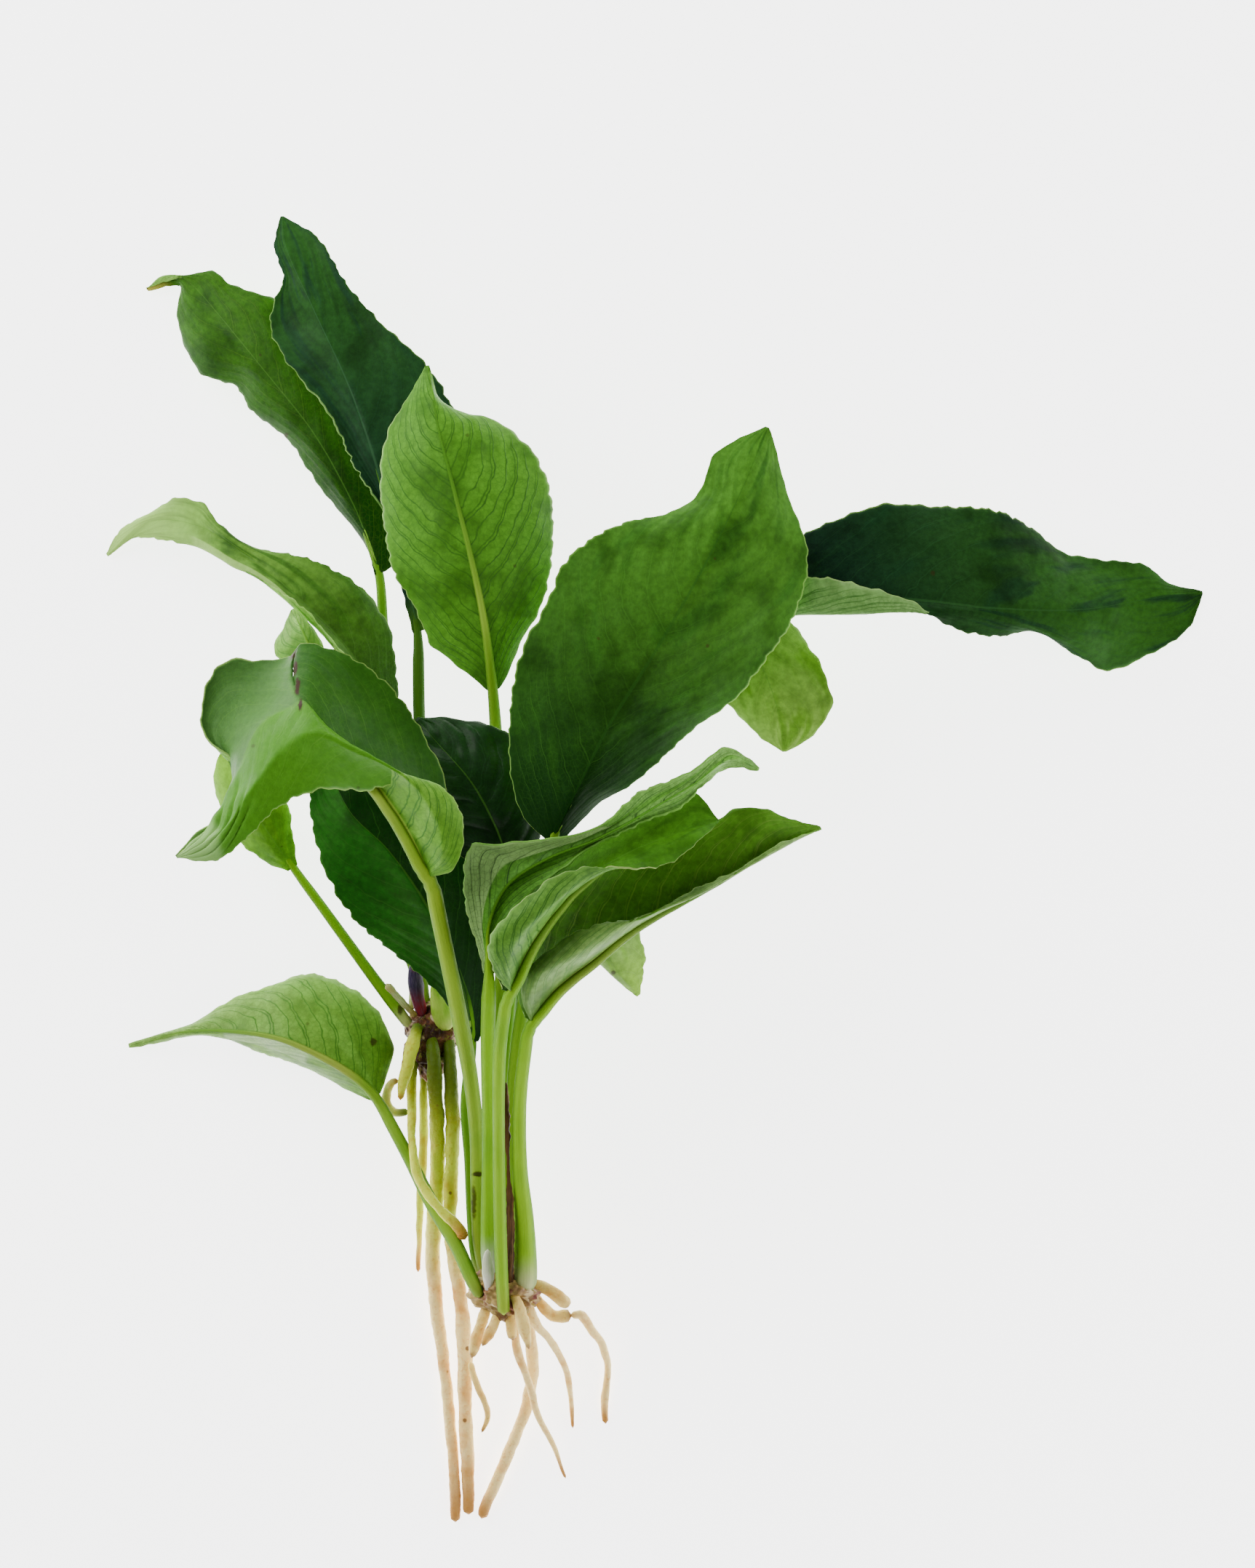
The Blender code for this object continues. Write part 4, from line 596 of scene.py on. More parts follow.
def leaf_places(name, stations, strips, seed):
    """World places of a leaf's sheet, with its veins, midrib, waves and fine scalloped edge, and which way is up."""
    blade = BLADES[name]
    length = length_of(blade["mid"])
    u = np.linspace(0, 1, stations)[:, None]
    v = np.linspace(-1, 1, strips)[None, :]
    w = np.abs(v)
    places = seen_at(blade_surface(name, stations, strips))
    up = unit(np.cross(np.gradient(places, axis=0), np.gradient(places, axis=1)))
    up *= -1 if blade.get("under_up") else 1
    half_width = np.linalg.norm(places - places[:, strips // 2][:, None], axis=-1)
    fade = np.sin(math.pi * u) ** 0.5
    # Side veins sweep from the midrib towards the tip. The phase is a whole number on a vein.
    phase = vein_count(length) * (u - VEIN_SWEEP * (VEIN_START * w + (1 - VEIN_START) * w**2))
    phase = phase + 0.25 * noise_field(places, 30.0, seed)
    near_vein = np.abs(phase - np.round(phase))
    between_rib_and_edge = smooth_step(w, 0.03, 0.2) * (1 - smooth_step(w, 0.75, 1.0))
    grooves = (1 - smooth_step(near_vein, 0.0, VEIN_WIDTH)) * between_rib_and_edge
    furrow = 1 - smooth_step(half_width, 0.0, MIDRIB_WIDTH * MM)
    waves = np.sin(2 * math.pi * u * length / EDGE_WAVE + seed + 1.7 * np.sign(v)) * w**5
    crinkled_from, extra = CRINKLED.get(name, (0.0, 0.0))
    crinkle = 1 + extra * smooth_step(u, crinkled_from, crinkled_from + 0.12)
    lift = (-VEIN_DEPTH * crinkle * grooves - MIDRIB_DEPTH * furrow * (1 - 0.6 * u) + EDGE_WAVE_HEIGHT * waves
            + (0.5 + 0.2 * crinkle) * noise_field(places, 55.0, seed)
            + 0.16 * crinkle * noise_field(places, 190.0, seed)) * fade * MM
    places = places + up * lift[..., None]
    from_right, from_left = (unit(places - np.roll(places, step, axis=1)) for step in (1, -1))
    outward = np.where((v >= 0)[..., None], from_right, from_left)
    along_edge = u * length + 3.0 * np.sin(u * length / 9.0 + seed)
    scallop = np.abs(np.sin(math.pi * along_edge / SCALLOP)) - 0.5 + 0.35 * np.sin(along_edge * 1.9 + seed)
    reach = SCALLOP_DEPTH * scallop * smooth_step(w, 0.88, 1.0) * fade * MM
    return places + outward * reach[..., None], up


def bent_grid(places):
    """A mesh of squares on rows and columns of places, with a map of where each place is in them."""
    rows, columns = places.shape[:2]
    bm = bmesh.new()
    bm.loops.layers.uv.verify()
    bmesh.ops.create_grid(bm, x_segments=rows - 1, y_segments=columns - 1, size=1.0, calc_uvs=True)
    in_row, in_column = bm.verts.layers.int.new("row"), bm.verts.layers.int.new("column")
    for vert in bm.verts:
        vert[in_row] = round((vert.co.x + 1) / 2 * (rows - 1))
        vert[in_column] = round((vert.co.y + 1) / 2 * (columns - 1))
        vert.co = places[vert[in_row], vert[in_column]]
    return bm


def keep(bm, name, *finishes):
    """An object of its own, smoothly shaded, for a finished shape."""
    mesh = bpy.data.meshes.new(name)
    bm.to_mesh(mesh)
    bm.free()
    mesh.shade_smooth()
    for finish in finishes:
        mesh.materials.append(finish)
    obj = bpy.data.objects.new(name, mesh)
    bpy.context.scene.collection.objects.link(obj)
    return obj


def stand_for(piece, node):
    """Rides a piece on the plant in the place of its plain solid."""
    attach(piece, "root")
    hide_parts(node)


def cut_tear(bm, row, first, last, half_width):
    """Slits a sheet along one of its rows, between two columns, and draws the two lips apart."""
    rows, columns = bm.verts.layers.int["row"], bm.verts.layers.int["column"]
    slit = [edge for edge in bm.edges if all(v[rows] == row and first <= v[columns] <= last for v in edge.verts)]
    bmesh.ops.split_edges(bm, edges=slit)
    for vert in bm.verts:
        if vert[rows] != row or not first < vert[columns] < last:
            continue
        before = any(v[rows] < row for face in vert.link_faces for v in face.verts)
        t = (vert[columns] - first) / (last - first)
        ragged = 1 + 0.8 * noise.noise(vert.co * 700)
        back = next(v.co for edge in vert.link_edges for v in edge.verts if v[rows] != row)
        vert.co += (back - vert.co).normalized() * half_width * MM * math.sin(math.pi * t) ** 0.6 * ragged
        vert.co.z += (-0.5 if before else 0.5) * MM * math.sin(math.pi * t)


def make_leaf(name, seed):
    """One leaf blade: a sheet with another look on each side."""
    blade, node = BLADES[name], "blade_" + name
    length = length_of(blade["mid"])
    widths = [length_of([a, b]) for a, b in zip(line_through(blade["left"], 9), line_through(blade["right"], 9))]
    stations = round(length / GRAIN) + 1
    strips = 2 * round(max(max(widths), 24) * 1.15 / GRAIN / 2) + 1
    places, _ = leaf_places(name, stations, strips, seed)
    upper, under = (leaf_finish(name, side, length, seed) for side in ("upper", "under"))
    order = (under, upper) if blade.get("under_up") else (upper, under)
    bm = bent_grid(places)
    for u, first, last, half_width in TEARS.get(name, ()):
        first, last = (round((v + 1) / 2 * (strips - 1)) for v in (first, last))
        cut_tear(bm, round(u * (stations - 1)), first, last, half_width)
    leaf = keep(bm, "leaf_" + name, *order)
    sheet = leaf.modifiers.new("Thickness", "SOLIDIFY")
    sheet.thickness = LEAF_THICKNESS * MM
    sheet.offset = 0
    sheet.material_offset = 1
    sheet.material_offset_rim = 1 if blade.get("under_up") else 0
    stand_for(leaf, node)


def tube(route, radii, sides, flutes=0.0, flat=1.0):
    """World places of a round tube: rows along its route, columns around it. The flutes run along it."""
    ahead = unit(np.gradient(route, axis=0))
    aside = unit(np.cross(ahead, [0.0, 0.0, 1.0]))
    above = np.cross(aside, ahead)
    turn = np.linspace(0, 2 * math.pi, sides + 1)
    grow = 1 + flutes * np.cos(6 * turn)
    ring = np.cos(turn)[None, :, None] * aside[:, None] + flat * np.sin(turn)[None, :, None] * above[:, None]
    return route[:, None] + ring * (radii[:, None] * grow[None])[..., None]


def rounded_ends(radii, step):
    """Radii drawn in as on a ball at both ends of a tube whose rows are a step apart."""
    k = np.arange(len(radii))
    from_end = np.minimum(k, len(radii) - 1 - k) * step / radii
    return radii * np.sqrt(np.clip(1 - (1 - np.clip(from_end, 0, 1)) ** 2, 0.01, 1))


def closed_tube(name, places, finish):
    """A tube's mesh, its seam joined and its two ends filled."""
    bm = bent_grid(places)
    bmesh.ops.remove_doubles(bm, verts=bm.verts, dist=1e-7)
    bmesh.ops.holes_fill(bm, edges=[edge for edge in bm.edges if edge.is_boundary], sides=0)
    bmesh.ops.recalc_face_normals(bm, faces=bm.faces)
    return keep(bm, name, finish)


def make_stalk(name, seed):
    """A leaf's stalk, which runs on under its blade as the raised midrib."""
    blade, node = BLADES[name], "stalk_" + name
    length, blade_length = length_of(STALKS[name]), length_of(blade["mid"])
    rows, rib_rows = round(length / STALK_STEP) + 1, round(blade_length / RIB_STEP) + 1
    stalk = line_through(STALKS[name], rows)
    places, up = leaf_places(name, rib_rows, RIB_STRIPS, seed)
    k = np.linspace(0, 1, rib_rows)
    rib_radii = (stalk[-1, 3] * LOW_RIBS.get(name, PLAIN_RIB) * (1 - k) ** 1.1 + 0.12) * MM
    sunk = rib_radii * (0.55 if blade.get("under_up") else 1.02)
    rib = places[:, RIB_STRIPS // 2] - up[:, RIB_STRIPS // 2] * sunk[:, None]
    stop = round(rib_rows * RIB_REACH)
    route = np.concatenate([seen_at(stalk[:-1, :3]), rib[1:stop]])
    radii = np.concatenate([stalk[:-1, 3] * MM, rib_radii[1:stop]])
    # The bend where the one runs into the other is evened out over a few rows.
    radii[rows - 6:rows + 5] = np.linspace(radii[rows - 6], radii[rows + 4], 11)
    for _ in range(2):
        route[rows - 5:rows + 4] = (route[rows - 6:rows + 3] + route[rows - 4:rows + 5]) / 2
    skin = tube(route, rounded_ends(radii, STALK_STEP * MM), STALK_SIDES, flutes=STALK_FLUTES)
    piece = closed_tube("petiole_" + name, skin, stalk_finish(name, length / (length + blade_length * RIB_REACH)))
    stand_for(piece, node)


def make_root(node, points, seed, finish, flat=1.0, lumps=ROOT_LUMPS):
    """A root, a stub or a dry sheath: a tube with an uneven skin."""
    start, after = Vector(points[0][:3]), Vector(points[1][:3])
    inside = start - (after - start).normalized() * ROOT_SOCKET
    rows = max(8, round(length_of(points) / ROOT_STEP)) + 1
    line = line_through([(*inside, points[0][3]), *points], rows)
    wander = np.stack([noise_field(line[:, :3] * 0.05 + k, 3.0, seed + k) for k in range(3)], axis=-1) * 0.35
    route = seen_at(line[:, :3] + wander * np.array([1, 1, 0.3]))
    swell = 1 + 0.12 * noise_field(line[:, :3] * 0.12, 2.0, seed)
    places = tube(route, rounded_ends(line[:, 3] * swell * MM, ROOT_STEP * MM), ROOT_SIDES, flat=flat)
    centre = route[:, None]
    places = centre + (places - centre) * (1 + lumps * noise_field(places, 700.0, seed))[..., None]
    places[:, -1] = places[:, 0]
    stand_for(closed_tube("natural_" + node, places, finish), node)


def make_rhizome(node, centre, halves, turn, seed):
    """A knobbly rhizome with the ring scars of old leaves."""
    bm = bmesh.new()
    bmesh.ops.create_icosphere(bm, subdivisions=6, radius=1.0)
    c, s = math.cos(math.radians(turn)), math.sin(math.radians(turn))
    for vert in bm.verts:
        way = vert.co.copy()
        knob = 1 + 0.07 * math.sin(5 * way.x + 3 * way.z) + 0.06 * math.sin(9 * way.y)
        lump = 0.16 * noise.noise(way * 2.6 + Vector((seed, 0, 0))) + 0.07 * noise.noise(way * 7.0)
        scar = 0.035 * math.cos(way.y * 26 + 2 * noise.noise(way * 3)) + 0.02 * noise.noise(way * 19)
        x, y, z = (way[i] * halves[i] * (knob + lump + scar) for i in range(3))
        vert.co = seen_at((centre[0] + x * c - y * s, centre[1] + x * s + y * c, centre[2] + z))
    stand_for(keep(bm, "natural_" + node, rhizome_finish(node)), node)


def colour(code, shade=1.0):
    """A linear colour from a screen colour code such as 5A8E14, darkened by the shade."""
    parts = [int(code[i:i + 2], 16) / 255 for i in (0, 2, 4)]
    return (*[shade * (p / 12.92 if p <= 0.04045 else ((p + 0.055) / 1.055) ** 2.4) for p in parts], 1.0)


class Value:
    """What a material works out at each place: a number, a colour or a place, to be reckoned on with."""

    def __init__(self, finish, socket):
        self.finish, self.socket = finish, socket

    def __add__(self, other):
        return self.finish.math("ADD", self, other)

    def __sub__(self, other):
        return self.finish.math("SUBTRACT", self, other)

    def __mul__(self, other):
        return self.finish.math("MULTIPLY", self, other)

    def __truediv__(self, other):
        return self.finish.math("DIVIDE", self, other)

    def __abs__(self):
        return self.finish.math("ABSOLUTE", self, 0.0)

    def band(self, low, high, start=0.0, end=1.0):
        """A smooth change from start to end as the value goes from low to high."""
        inputs = dict(enumerate((self, low, high, start, end)))
        return self.finish.value("ShaderNodeMapRange", inputs, interpolation_type="SMOOTHSTEP")

    def mixed(self, factor, other):
        """This colour with as much of another one in it as the factor says."""
        return self.finish.mix(factor, self, other)

    def tinted(self, other):
        """This colour as seen through another one."""
        return self.finish.mix(1.0, self, other, "MULTIPLY")


class Finish:
    """A material in the making. Its methods add nodes and give what these work out."""

    def __init__(self, name, roughness, specular, subsurface=0.0):
        self.material = bpy.data.materials.new(name)
        self.material.use_nodes = True
        self.tree = self.material.node_tree
        self.shader = self.tree.nodes["Principled BSDF"].inputs
        self.shader["Roughness"].default_value = roughness
        self.shader["Specular IOR Level"].default_value = specular
        if subsurface:
            self.shader["Subsurface Weight"].default_value = subsurface
            self.shader["Subsurface Radius"].default_value = (0.9, 1.0, 0.25)
            self.shader["Subsurface Scale"].default_value = 0.9 * MM
        self.place = self.value("ShaderNodeTexCoord", {}, "Object")

    def feed(self, socket, item):
        """Gives a socket a value that is worked out, a colour code or a plain value."""
        if isinstance(item, Value):
            self.tree.links.new(item.socket, socket)
        else:
            socket.default_value = colour(item) if isinstance(item, str) else item

    def value(self, kind, inputs, output=0, **settings):
        """What a new node of a kind gives. The inputs have numbers or names, and so has its output."""
        made = self.tree.nodes.new(kind)
        for key, setting in settings.items():
            setattr(made, key, setting)
        for key, item in inputs.items():
            self.feed(made.inputs[key], item)
        return Value(self, made.outputs[output])

    def math(self, operation, a, b):
        return self.value("ShaderNodeMath", {0: a, 1: b}, operation=operation)

    def mix(self, factor, a, b, blend="MIX"):
        return self.value("ShaderNodeMix", {0: factor, 6: a, 7: b}, 2, data_type="RGBA", blend_type=blend)

    def joined(self, x, y, z=0.0):
        return self.value("ShaderNodeCombineXYZ", {0: x, 1: y, 2: z})

    def part(self, vector, number):
        return self.value("ShaderNodeSeparateXYZ", {0: vector}, number)

    def uv(self):
        """The two map coordinates of the piece: along it and across it."""
        both = self.value("ShaderNodeTexCoord", {}, "UV")
        return self.part(both, 0), self.part(both, 1)

    def noise(self, vector, scale, detail=2.0, rough=0.5, distortion=0.0):
        return self.value("ShaderNodeTexNoise", {"Vector": vector, "Scale": scale, "Detail": detail,
                                                 "Roughness": rough, "Distortion": distortion})

    def cells(self, scale, feature="F1"):
        return self.value("ShaderNodeTexVoronoi", {"Vector": self.place, "Scale": scale}, feature=feature)

    def specks(self, scale, fades, strength, patches, patch_from):
        """Specks that come in patches, as a factor. Each fades between two distances from its middle."""
        speck = self.cells(scale).band(*fades, strength, 0.0)
        return speck * self.noise(self.place, patches).band(patch_from, patch_from + 0.06)

    def done(self, base, rough, height=None, depth=0.0, strength=1.0):
        """The material, with its colour, its roughness and a height from 0 to 1 times a depth in metres."""
        self.feed(self.shader["Base Color"], base)
        self.feed(self.shader["Roughness"], rough)
        if height is not None:
            inputs = {"Strength": strength, "Distance": depth, "Height": height}
            self.feed(self.shader["Normal"], self.value("ShaderNodeBump", inputs))
        return self.material


def vein_lines(phase, thin):
    """Side veins as a factor from 0 to 1 that is 1 on a vein, where the phase is a whole number."""
    return phase.finish.math("PINGPONG", phase, 0.5).band(0.0, thin, 1.0, 0.0)


def add_marks(base, node):
    """Small brown spots with ragged rims."""
    finish = base.finish
    ragged = finish.noise(finish.place, 700.0)
    for x, y, size, strength, stretch in MARKS.get(node, ()):
        spot = spot_on(node, x, y)
        flat = finish.value("ShaderNodeMapping", {"Vector": finish.place, "Scale": (1.0, 1 / stretch, 0.0)})
        away = finish.value("ShaderNodeVectorMath", {0: flat, 1: (spot[0], spot[1] / stretch, 0.0)}, "Value",
                            operation="DISTANCE")
        stain = (away + ragged * (-size * MM)).band(-0.1 * size * MM, 0.5 * size * MM, strength, 0.0)
        base = base.mixed(stain, SPOT_BROWN)
    return base


def leaf_look(name, side):
    """How one side of a blade looks, with what sets it apart from most."""
    return {**(UNDER_LOOK if side == "under" else UPPER_LOOK), **LEAF_LOOKS.get((name, side), {})}


class Sheet:
    """Where a place is on a blade, and how uneven the blade is there."""

    def __init__(self, finish, length):
        self.u, self.across = finish.uv()
        self.w = abs(self.across * 2.0 - 1.0)
        sweep = (self.w * VEIN_START + self.w * self.w * (1 - VEIN_START)) * VEIN_SWEEP
        self.phase = (self.u - sweep) * vein_count(length)
        for scale, reach in VEIN_WANDER:
            self.phase = self.phase + finish.noise(finish.place, scale) * reach
        self.mottle = finish.noise(finish.place, 60.0, detail=3.0, rough=0.6)
        self.fine = finish.noise(finish.place, 600.0, detail=3.0, rough=0.65)


def leaf_ground(finish, sheet, look, seed):
    """A blade's colour under its veins: blotched along them, with painted shade in the furrows, darker soft mottles
    and a painted glow along its edges.
    """
    blotches = finish.joined(sheet.phase * 0.42, sheet.across * 3.2, seed * 3.7)
    blotch = finish.noise(blotches, 1.5, rough=0.55)
    base = finish.mix(sheet.u.band(0.0, 0.95), look["base"], look["tip"])
    base = base.mixed(blotch.band(0.50, 0.68, 0.0, 0.85), look["blotch_and_edge_glow"])
    deep = base.tinted(LEAF_SHADE_AND_MOTTLE)
    base = base.mixed(sheet.mottle.band(0.52, 0.30, 0.0, 0.8), deep)
    # Painted shade: the furrows beside the side veins are darkened as if shaded.
    here_and_there = finish.noise(finish.place, 24.0).band(0.40, 0.60, 0.1, look["furrow"])
    furrow = vein_lines(sheet.phase, 0.34) * sheet.w.band(0.60, 0.95, 1.0, 0.0)
    base = base.mixed(furrow * here_and_there, deep)
    # Painted light: the blotch colour along the edges stands in for the glow of backlit margins.
    base = base.mixed((sheet.w + sheet.mottle * 0.5).band(1.0, 1.5, 0.0, 0.5), look["blotch_and_edge_glow"])
    base = base.tinted(sheet.fine.band(0.30, 0.70, 0.80, 1.12))
    if "end" in look:
        base = base.mixed(sheet.u.band(look["end_from"], 1.0, 0.0, 0.95), look["end"])
    if "foot" in look:
        base = base.mixed(sheet.u.band(0.0, look["foot_to"], 0.92, 0.0), look["foot"])
    return base


def add_areas(base, sheet, areas):
    """Parts of a blade with a colour of their own, with soft and wavy bounds."""
    wavy = (sheet.mottle - 0.5) * 0.03
    for low_u, high_u, low_v, high_v, code, strength in areas:
        within = None
        for where, low, high, most in ((sheet.u + wavy, low_u, high_u, 1.0),
                                       (sheet.across + wavy, low_v, high_v, strength)):
            rise = where.band(low - AREA_BLUR, low + AREA_BLUR)
            within = within * rise if within else rise
            within = within * where.band(high - AREA_BLUR, high + AREA_BLUR, most, 0.0)
        grainy = base.finish.mix(sheet.fine.band(0.30, 0.70), colour(code, shade=0.85), code)
        base = base.mixed(within, grainy)
    return base


def add_veins(base, sheet, look):
    """Side veins, the fine ones between them, the net between those, the midrib and the pale rim."""
    finish, u, w = base.finish, sheet.u, sheet.w
    uneven = w.band(0.86, 0.99, 1.0, 0.0) * sheet.mottle.band(0.34, 0.60, look["faintest"], 1.0)
    fine_phase = sheet.phase * FINE_VEINS + finish.noise(finish.place, 210.0) * 0.45
    strong = vein_lines(sheet.phase, look["vein_width"]) * uneven
    between = vein_lines(fine_phase, look["fine_width"]) * uneven
    net = finish.cells(700.0, "DISTANCE_TO_EDGE").band(0.02, 0.11, look["net"], 0.0) * uneven
    for lines in (between * look["fine_veins"], strong * look["vein_strength"], net):
        base = base.mixed(lines, look["vein"])
    rib_width = u.band(0.0, 1.0, look["rib_width"], RIB_WIDTH_AT_TIP)
    base = base.mixed((w / rib_width).band(0.55, 1.1, look["rib_strength"], 0.0), look["rib"])
    return base.mixed(w.band(0.980, 0.998, 0.0, look["rim_strength"]), look["rim"]), between


def leaf_finish(name, side, length, seed):
    """One side of a leaf blade: mottled green with its veins, midrib, pale rim and small marks."""
    look = leaf_look(name, side)
    finish = Finish(f"leaf_{name}_{side}", look["rough"], look["specular"], subsurface=0.1)
    sheet = Sheet(finish, length)
    base = leaf_ground(finish, sheet, look, seed)
    base, between = add_veins(add_areas(base, sheet, look.get("areas", ())), sheet, look)
    base = base.mixed(finish.specks(150.0, (0.035, 0.075), 0.6, 26.0, 0.60), LEAF_SPECK)
    raised = look["relief"] if side == "under" else -look["relief"]
    height = finish.cells(PORES) * 0.3 + between * raised + sheet.fine * 0.6
    shine = finish.noise(finish.place, 140.0)
    rough = shine.band(0.3, 0.7, look["rough"] - 0.08, look["rough"] + 0.12)
    return finish.done(add_marks(base, "blade_" + name), rough, height, 0.09 * MM, 0.8)


def stalk_finish(name, share):
    """A stalk: whitish at its foot, then streaked green with painted shade on its flanks, and paler where it starts
    to run on as a midrib.
    """
    foot, green, rib = STALK_LOOKS.get(name, PLAIN_STALK)
    finish = Finish(f"petiole_{name}_green", roughness=0.5, specular=0.05, subsurface=0.1)
    u, around = finish.uv()
    turn = around * (2 * math.pi)
    cosine, sine = (finish.math(kind, turn, 0.0) for kind in ("COSINE", "SINE"))
    streaks = finish.joined(u * 3.0, cosine * STALK_FIBRES, sine * STALK_FIBRES)
    fibres = finish.noise(streaks, 3.4, detail=3.0, rough=0.7)
    base = finish.mix(u.band(0.01, 0.14 * share), foot, green)
    base = base.mixed(u.band(share * 0.92, min(share * 1.08, 1.0)), rib)
    base = base.mixed(u.band(share, share + (1 - share) * 0.75), leaf_look(name, "under")["base"])
    # Painted shade darkens the flanks of the stalk. The darker fibre streaks mixed in with the same colour are the
    # stalk's own.
    painted_flank_shade = abs(cosine).band(0.45, 1.0, 0.0, 0.9)
    darkened = finish.math("MAXIMUM", painted_flank_shade, fibres.band(0.50, 0.66, 0.0, 0.35))
    base = base.mixed(darkened, base.mixed(0.7, STALK_FLANK_SHADE_AND_FIBRE))
    base = base.mixed(fibres.band(0.46, 0.30, 0.0, 0.45), base.mixed(0.3, STALK_LIGHT))
    base = base.mixed(finish.noise(finish.place, 45.0).band(0.45, 0.75, 0.0, 0.35), STALK_CLOUD)
    rough = finish.noise(finish.place, 200.0).band(0.35, 0.7, 0.42, 0.6)
    height = fibres + finish.cells(PORES) * 0.2
    return finish.done(add_marks(base, "stalk_" + name), rough, height, 0.18 * MM, 0.7)


def root_finish(name, upper, lower, tips):
    """Roots: one colour up by the leaves and another down at their ends, with specks and a rough skin."""
    finish = Finish(name, roughness=0.55, specular=0.15, subsurface=0.35)
    place = finish.place
    u, _ = finish.uv()
    cloud = finish.noise(place, 90.0, detail=3.0, rough=0.6)
    fine = finish.noise(place, 900.0, detail=3.0, rough=0.7)
    up_high = (finish.part(place, 1) + cloud * 0.012).band(ROOT_TURNS_PALE - 0.012, ROOT_TURNS_PALE + 0.012)
    base = finish.mix(up_high, lower, upper)
    brown = base.tinted(ROOT_TINT)
    base = base.mixed(cloud.band(0.48, 0.72, 0.0, 0.8), brown)
    base = base.mixed(fine.band(0.50, 0.72, 0.0, 0.5), brown)
    base = base.mixed(u.band(0.84, 0.98, 0.0, 0.85), tips)
    base = base.mixed((u + cloud * 0.06).band(0.08, 0.36, 0.95, 0.0) * up_high, ROOT_OLIVE)
    base = base.mixed(finish.specks(210.0, (0.10, 0.17), 0.85, 60.0, 0.54), ROOT_SPECK)
    knobs = finish.noise(place, 330.0, detail=1.0)
    return finish.done(base, cloud.band(0.3, 0.7, 0.45, 0.65), fine + knobs * 2.0, 0.3 * MM, 0.9)


def rhizome_finish(node):
    """Rhizome skin: brown, dark red in its hollows and between its scars, with a few pale knobs."""
    dark, light, pale, hollow = RHIZOME_LOOKS[node]
    finish = Finish(node + "_skin", roughness=0.6, specular=0.15, subsurface=0.05)
    cloud = finish.noise(finish.place, 130.0, detail=4.0, rough=0.65)
    grain = finish.noise(finish.place, 700.0, detail=3.0, rough=0.7)
    patches = finish.noise(finish.place, 170.0, distortion=0.5)
    base = finish.mix(cloud.band(0.35, 0.65), dark, light)
    base = base.mixed(patches.band(0.58, 0.66, 0.0, 0.85), pale)
    base = base.mixed(patches.band(0.44, 0.36, 0.0, 0.9), hollow)
    base = base.mixed(grain.band(0.52, 0.68, 0.0, 0.5), RHIZOME_GREEN)
    return finish.done(base, grain.band(0.3, 0.7, 0.4, 0.75), grain + cloud * 1.5, 0.4 * MM, 0.9)


def papery_finish(name, main, second, streak):
    """A dry or waxy sheath with fine streaks along it."""
    finish = Finish(name, roughness=0.6, specular=0.12, subsurface=0.08)
    u, around = finish.uv()
    streaks = finish.joined(u * 1.6, finish.math("PINGPONG", around, 0.5) * 16.0)
    lines = finish.noise(streaks, 2.2, detail=3.0, rough=0.7)
    cloud = finish.noise(finish.place, 160.0, detail=3.0)
    base = finish.mix(u.band(0.05, 0.6), second, main)
    base = base.mixed(lines.band(0.45, 0.65, 0.0, 0.7), streak)
    base = base.mixed(cloud.band(0.50, 0.70, 0.0, 0.5), second)
    return finish.done(base, cloud.band(0.3, 0.7, 0.4, 0.65), lines, 0.2 * MM, 0.8)


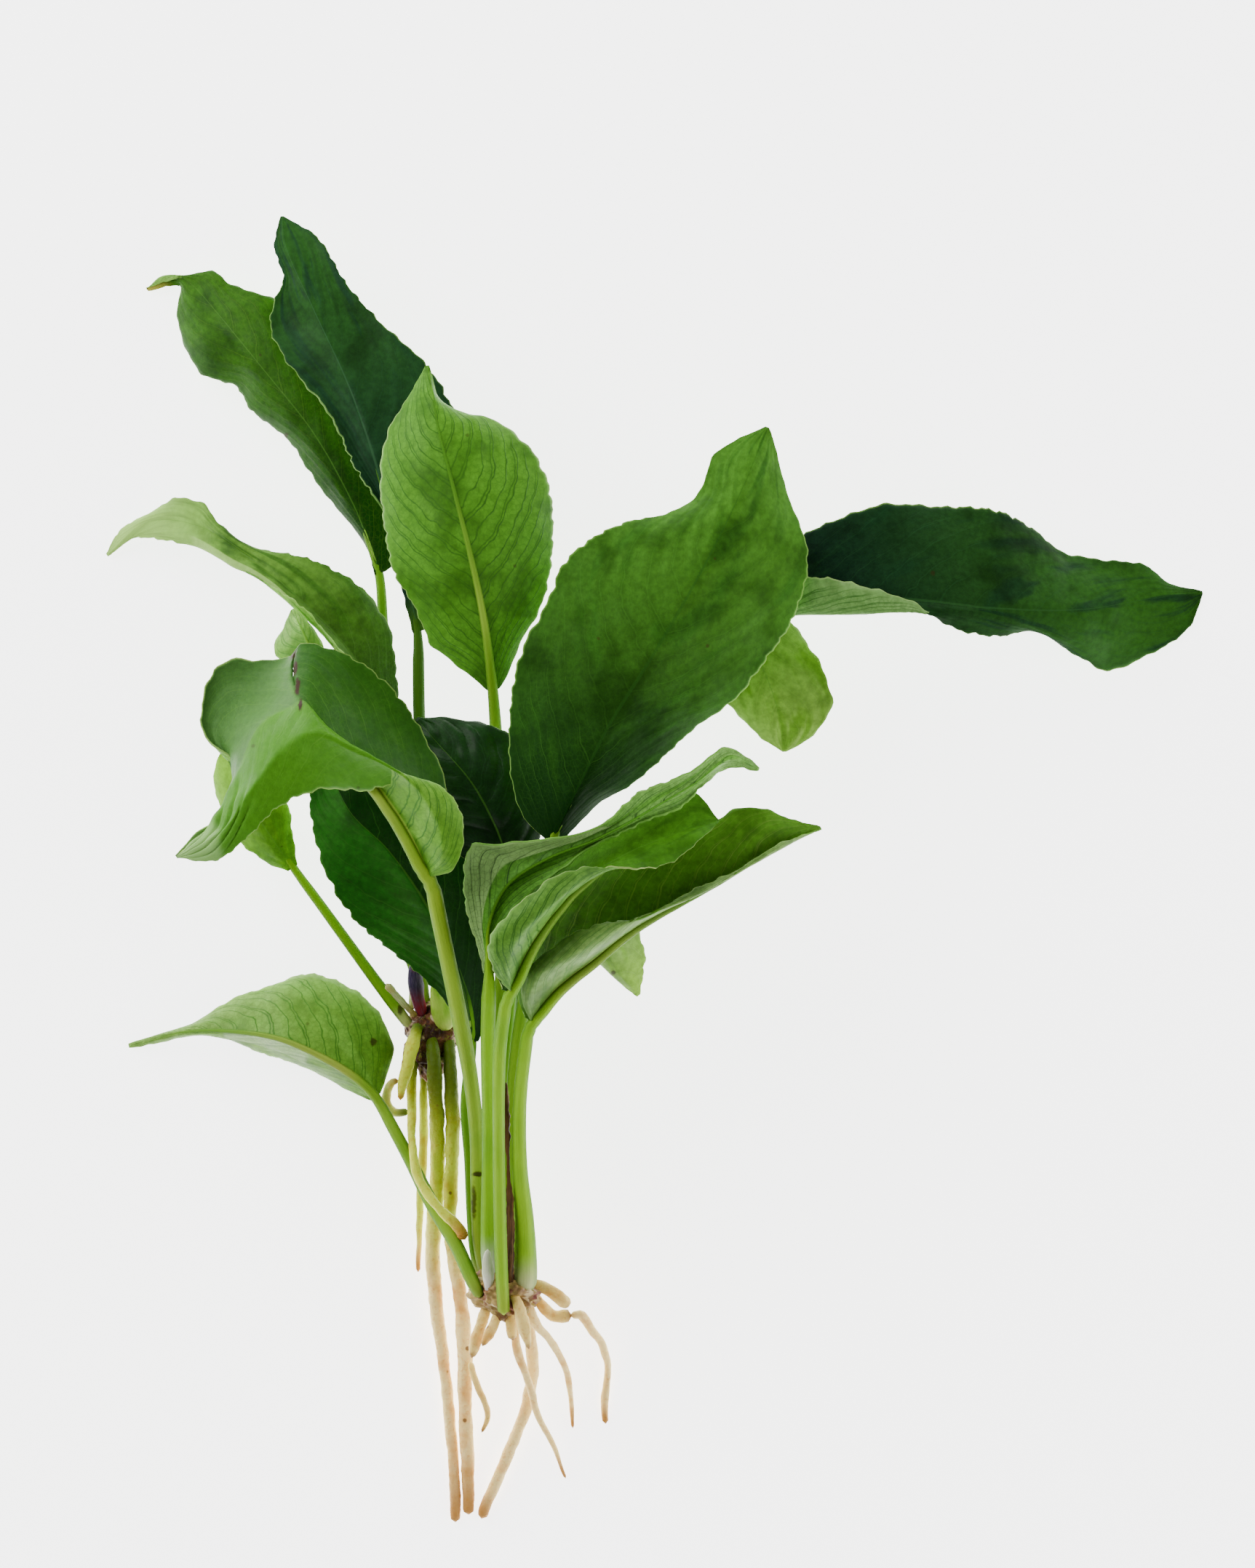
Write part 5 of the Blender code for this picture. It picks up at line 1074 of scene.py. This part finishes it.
def make_plant():
    """Every leaf, stalk, root, stub, sheath and rhizome of the plant."""
    for seed, name in enumerate(BLADES):
        make_leaf(name, seed)
        make_stalk(name, seed)
    root, stub = root_finish("root_skin", *ROOT_COLOURS), root_finish("stub_skin", *STUB_COLOURS)
    for seed, (node, points) in enumerate(ROOTS.items()):
        make_root(node, points, seed, root)
    for seed, (node, points) in enumerate(STUBS.items()):
        make_root(node, points, seed + 20, stub, lumps=STUB_LUMPS)
    for seed, (node, (finish, slot, lumps)) in enumerate(SHEATH_LOOKS.items()):
        make_root(node, SHEATHS[node], seed + 40, papery_finish(*finish), flat=SHEATH_FLATNESS, lumps=lumps)
    for seed, (node, (centre, halves, turn)) in enumerate(RHIZOMES.items()):
        make_rhizome(node, centre, halves, turn, seed)


def make_floor():
    """A pale surface for the plant to lie on, bright as a lit table."""
    finish = Finish("pale_paper", roughness=0.8, specular=0.2)
    finish.feed(finish.shader["Emission Color"], "FFFFFF")
    finish.feed(finish.shader["Emission Strength"], TABLE_GLOW)
    base = finish.mix(finish.noise(finish.place, 300.0, detail=3.0), "F4F4F2", "F9F9F8")
    bm = bmesh.new()
    bmesh.ops.create_grid(bm, x_segments=2, y_segments=2, size=FLOOR_SIZE)
    floor = keep(bm, "pale_floor", finish.done(base, 0.8))


def add_lamp(name, place, power):
    """A soft square lamp that shines at the plant."""
    light = bpy.data.lights.new(name, "AREA")
    light.shape = "SQUARE"
    light.size = LAMP_SIZE
    light.energy = power
    lamp = bpy.data.objects.new(name, light)
    lamp.location = place
    lamp.rotation_euler = (-Vector(place)).to_track_quat("-Z", "Y").to_euler()
    bpy.context.scene.collection.objects.link(lamp)


def make_studio():
    """Dim light from all around, and soft lamps at the sides, so that level leaves mirror none of them."""
    world = bpy.data.worlds.new("studio")
    world.use_nodes = True
    world.node_tree.nodes["Background"].inputs["Color"].default_value = colour("FFFFFF")
    world.node_tree.nodes["Background"].inputs["Strength"].default_value = WORLD_GLOW
    bpy.context.scene.world = world
    for name, (place, power) in LAMPS.items():
        add_lamp(name, place, power)


def aim_camera():
    """Looks straight down on the plant, as in its picture."""
    camera = bpy.data.cameras.new("picture")
    camera.lens = camera.sensor_width * EYE_HEIGHT / PICTURE_LENGTH
    camera.clip_start = 0.05
    holder = bpy.data.objects.new("picture", camera)
    holder.location = (-CENTRE[0] * MM, -CENTRE[1] * MM, EYE_HEIGHT * MM)
    bpy.context.scene.collection.objects.link(holder)
    bpy.context.scene.camera = holder


make_plant()
make_floor()
make_studio()
aim_camera()
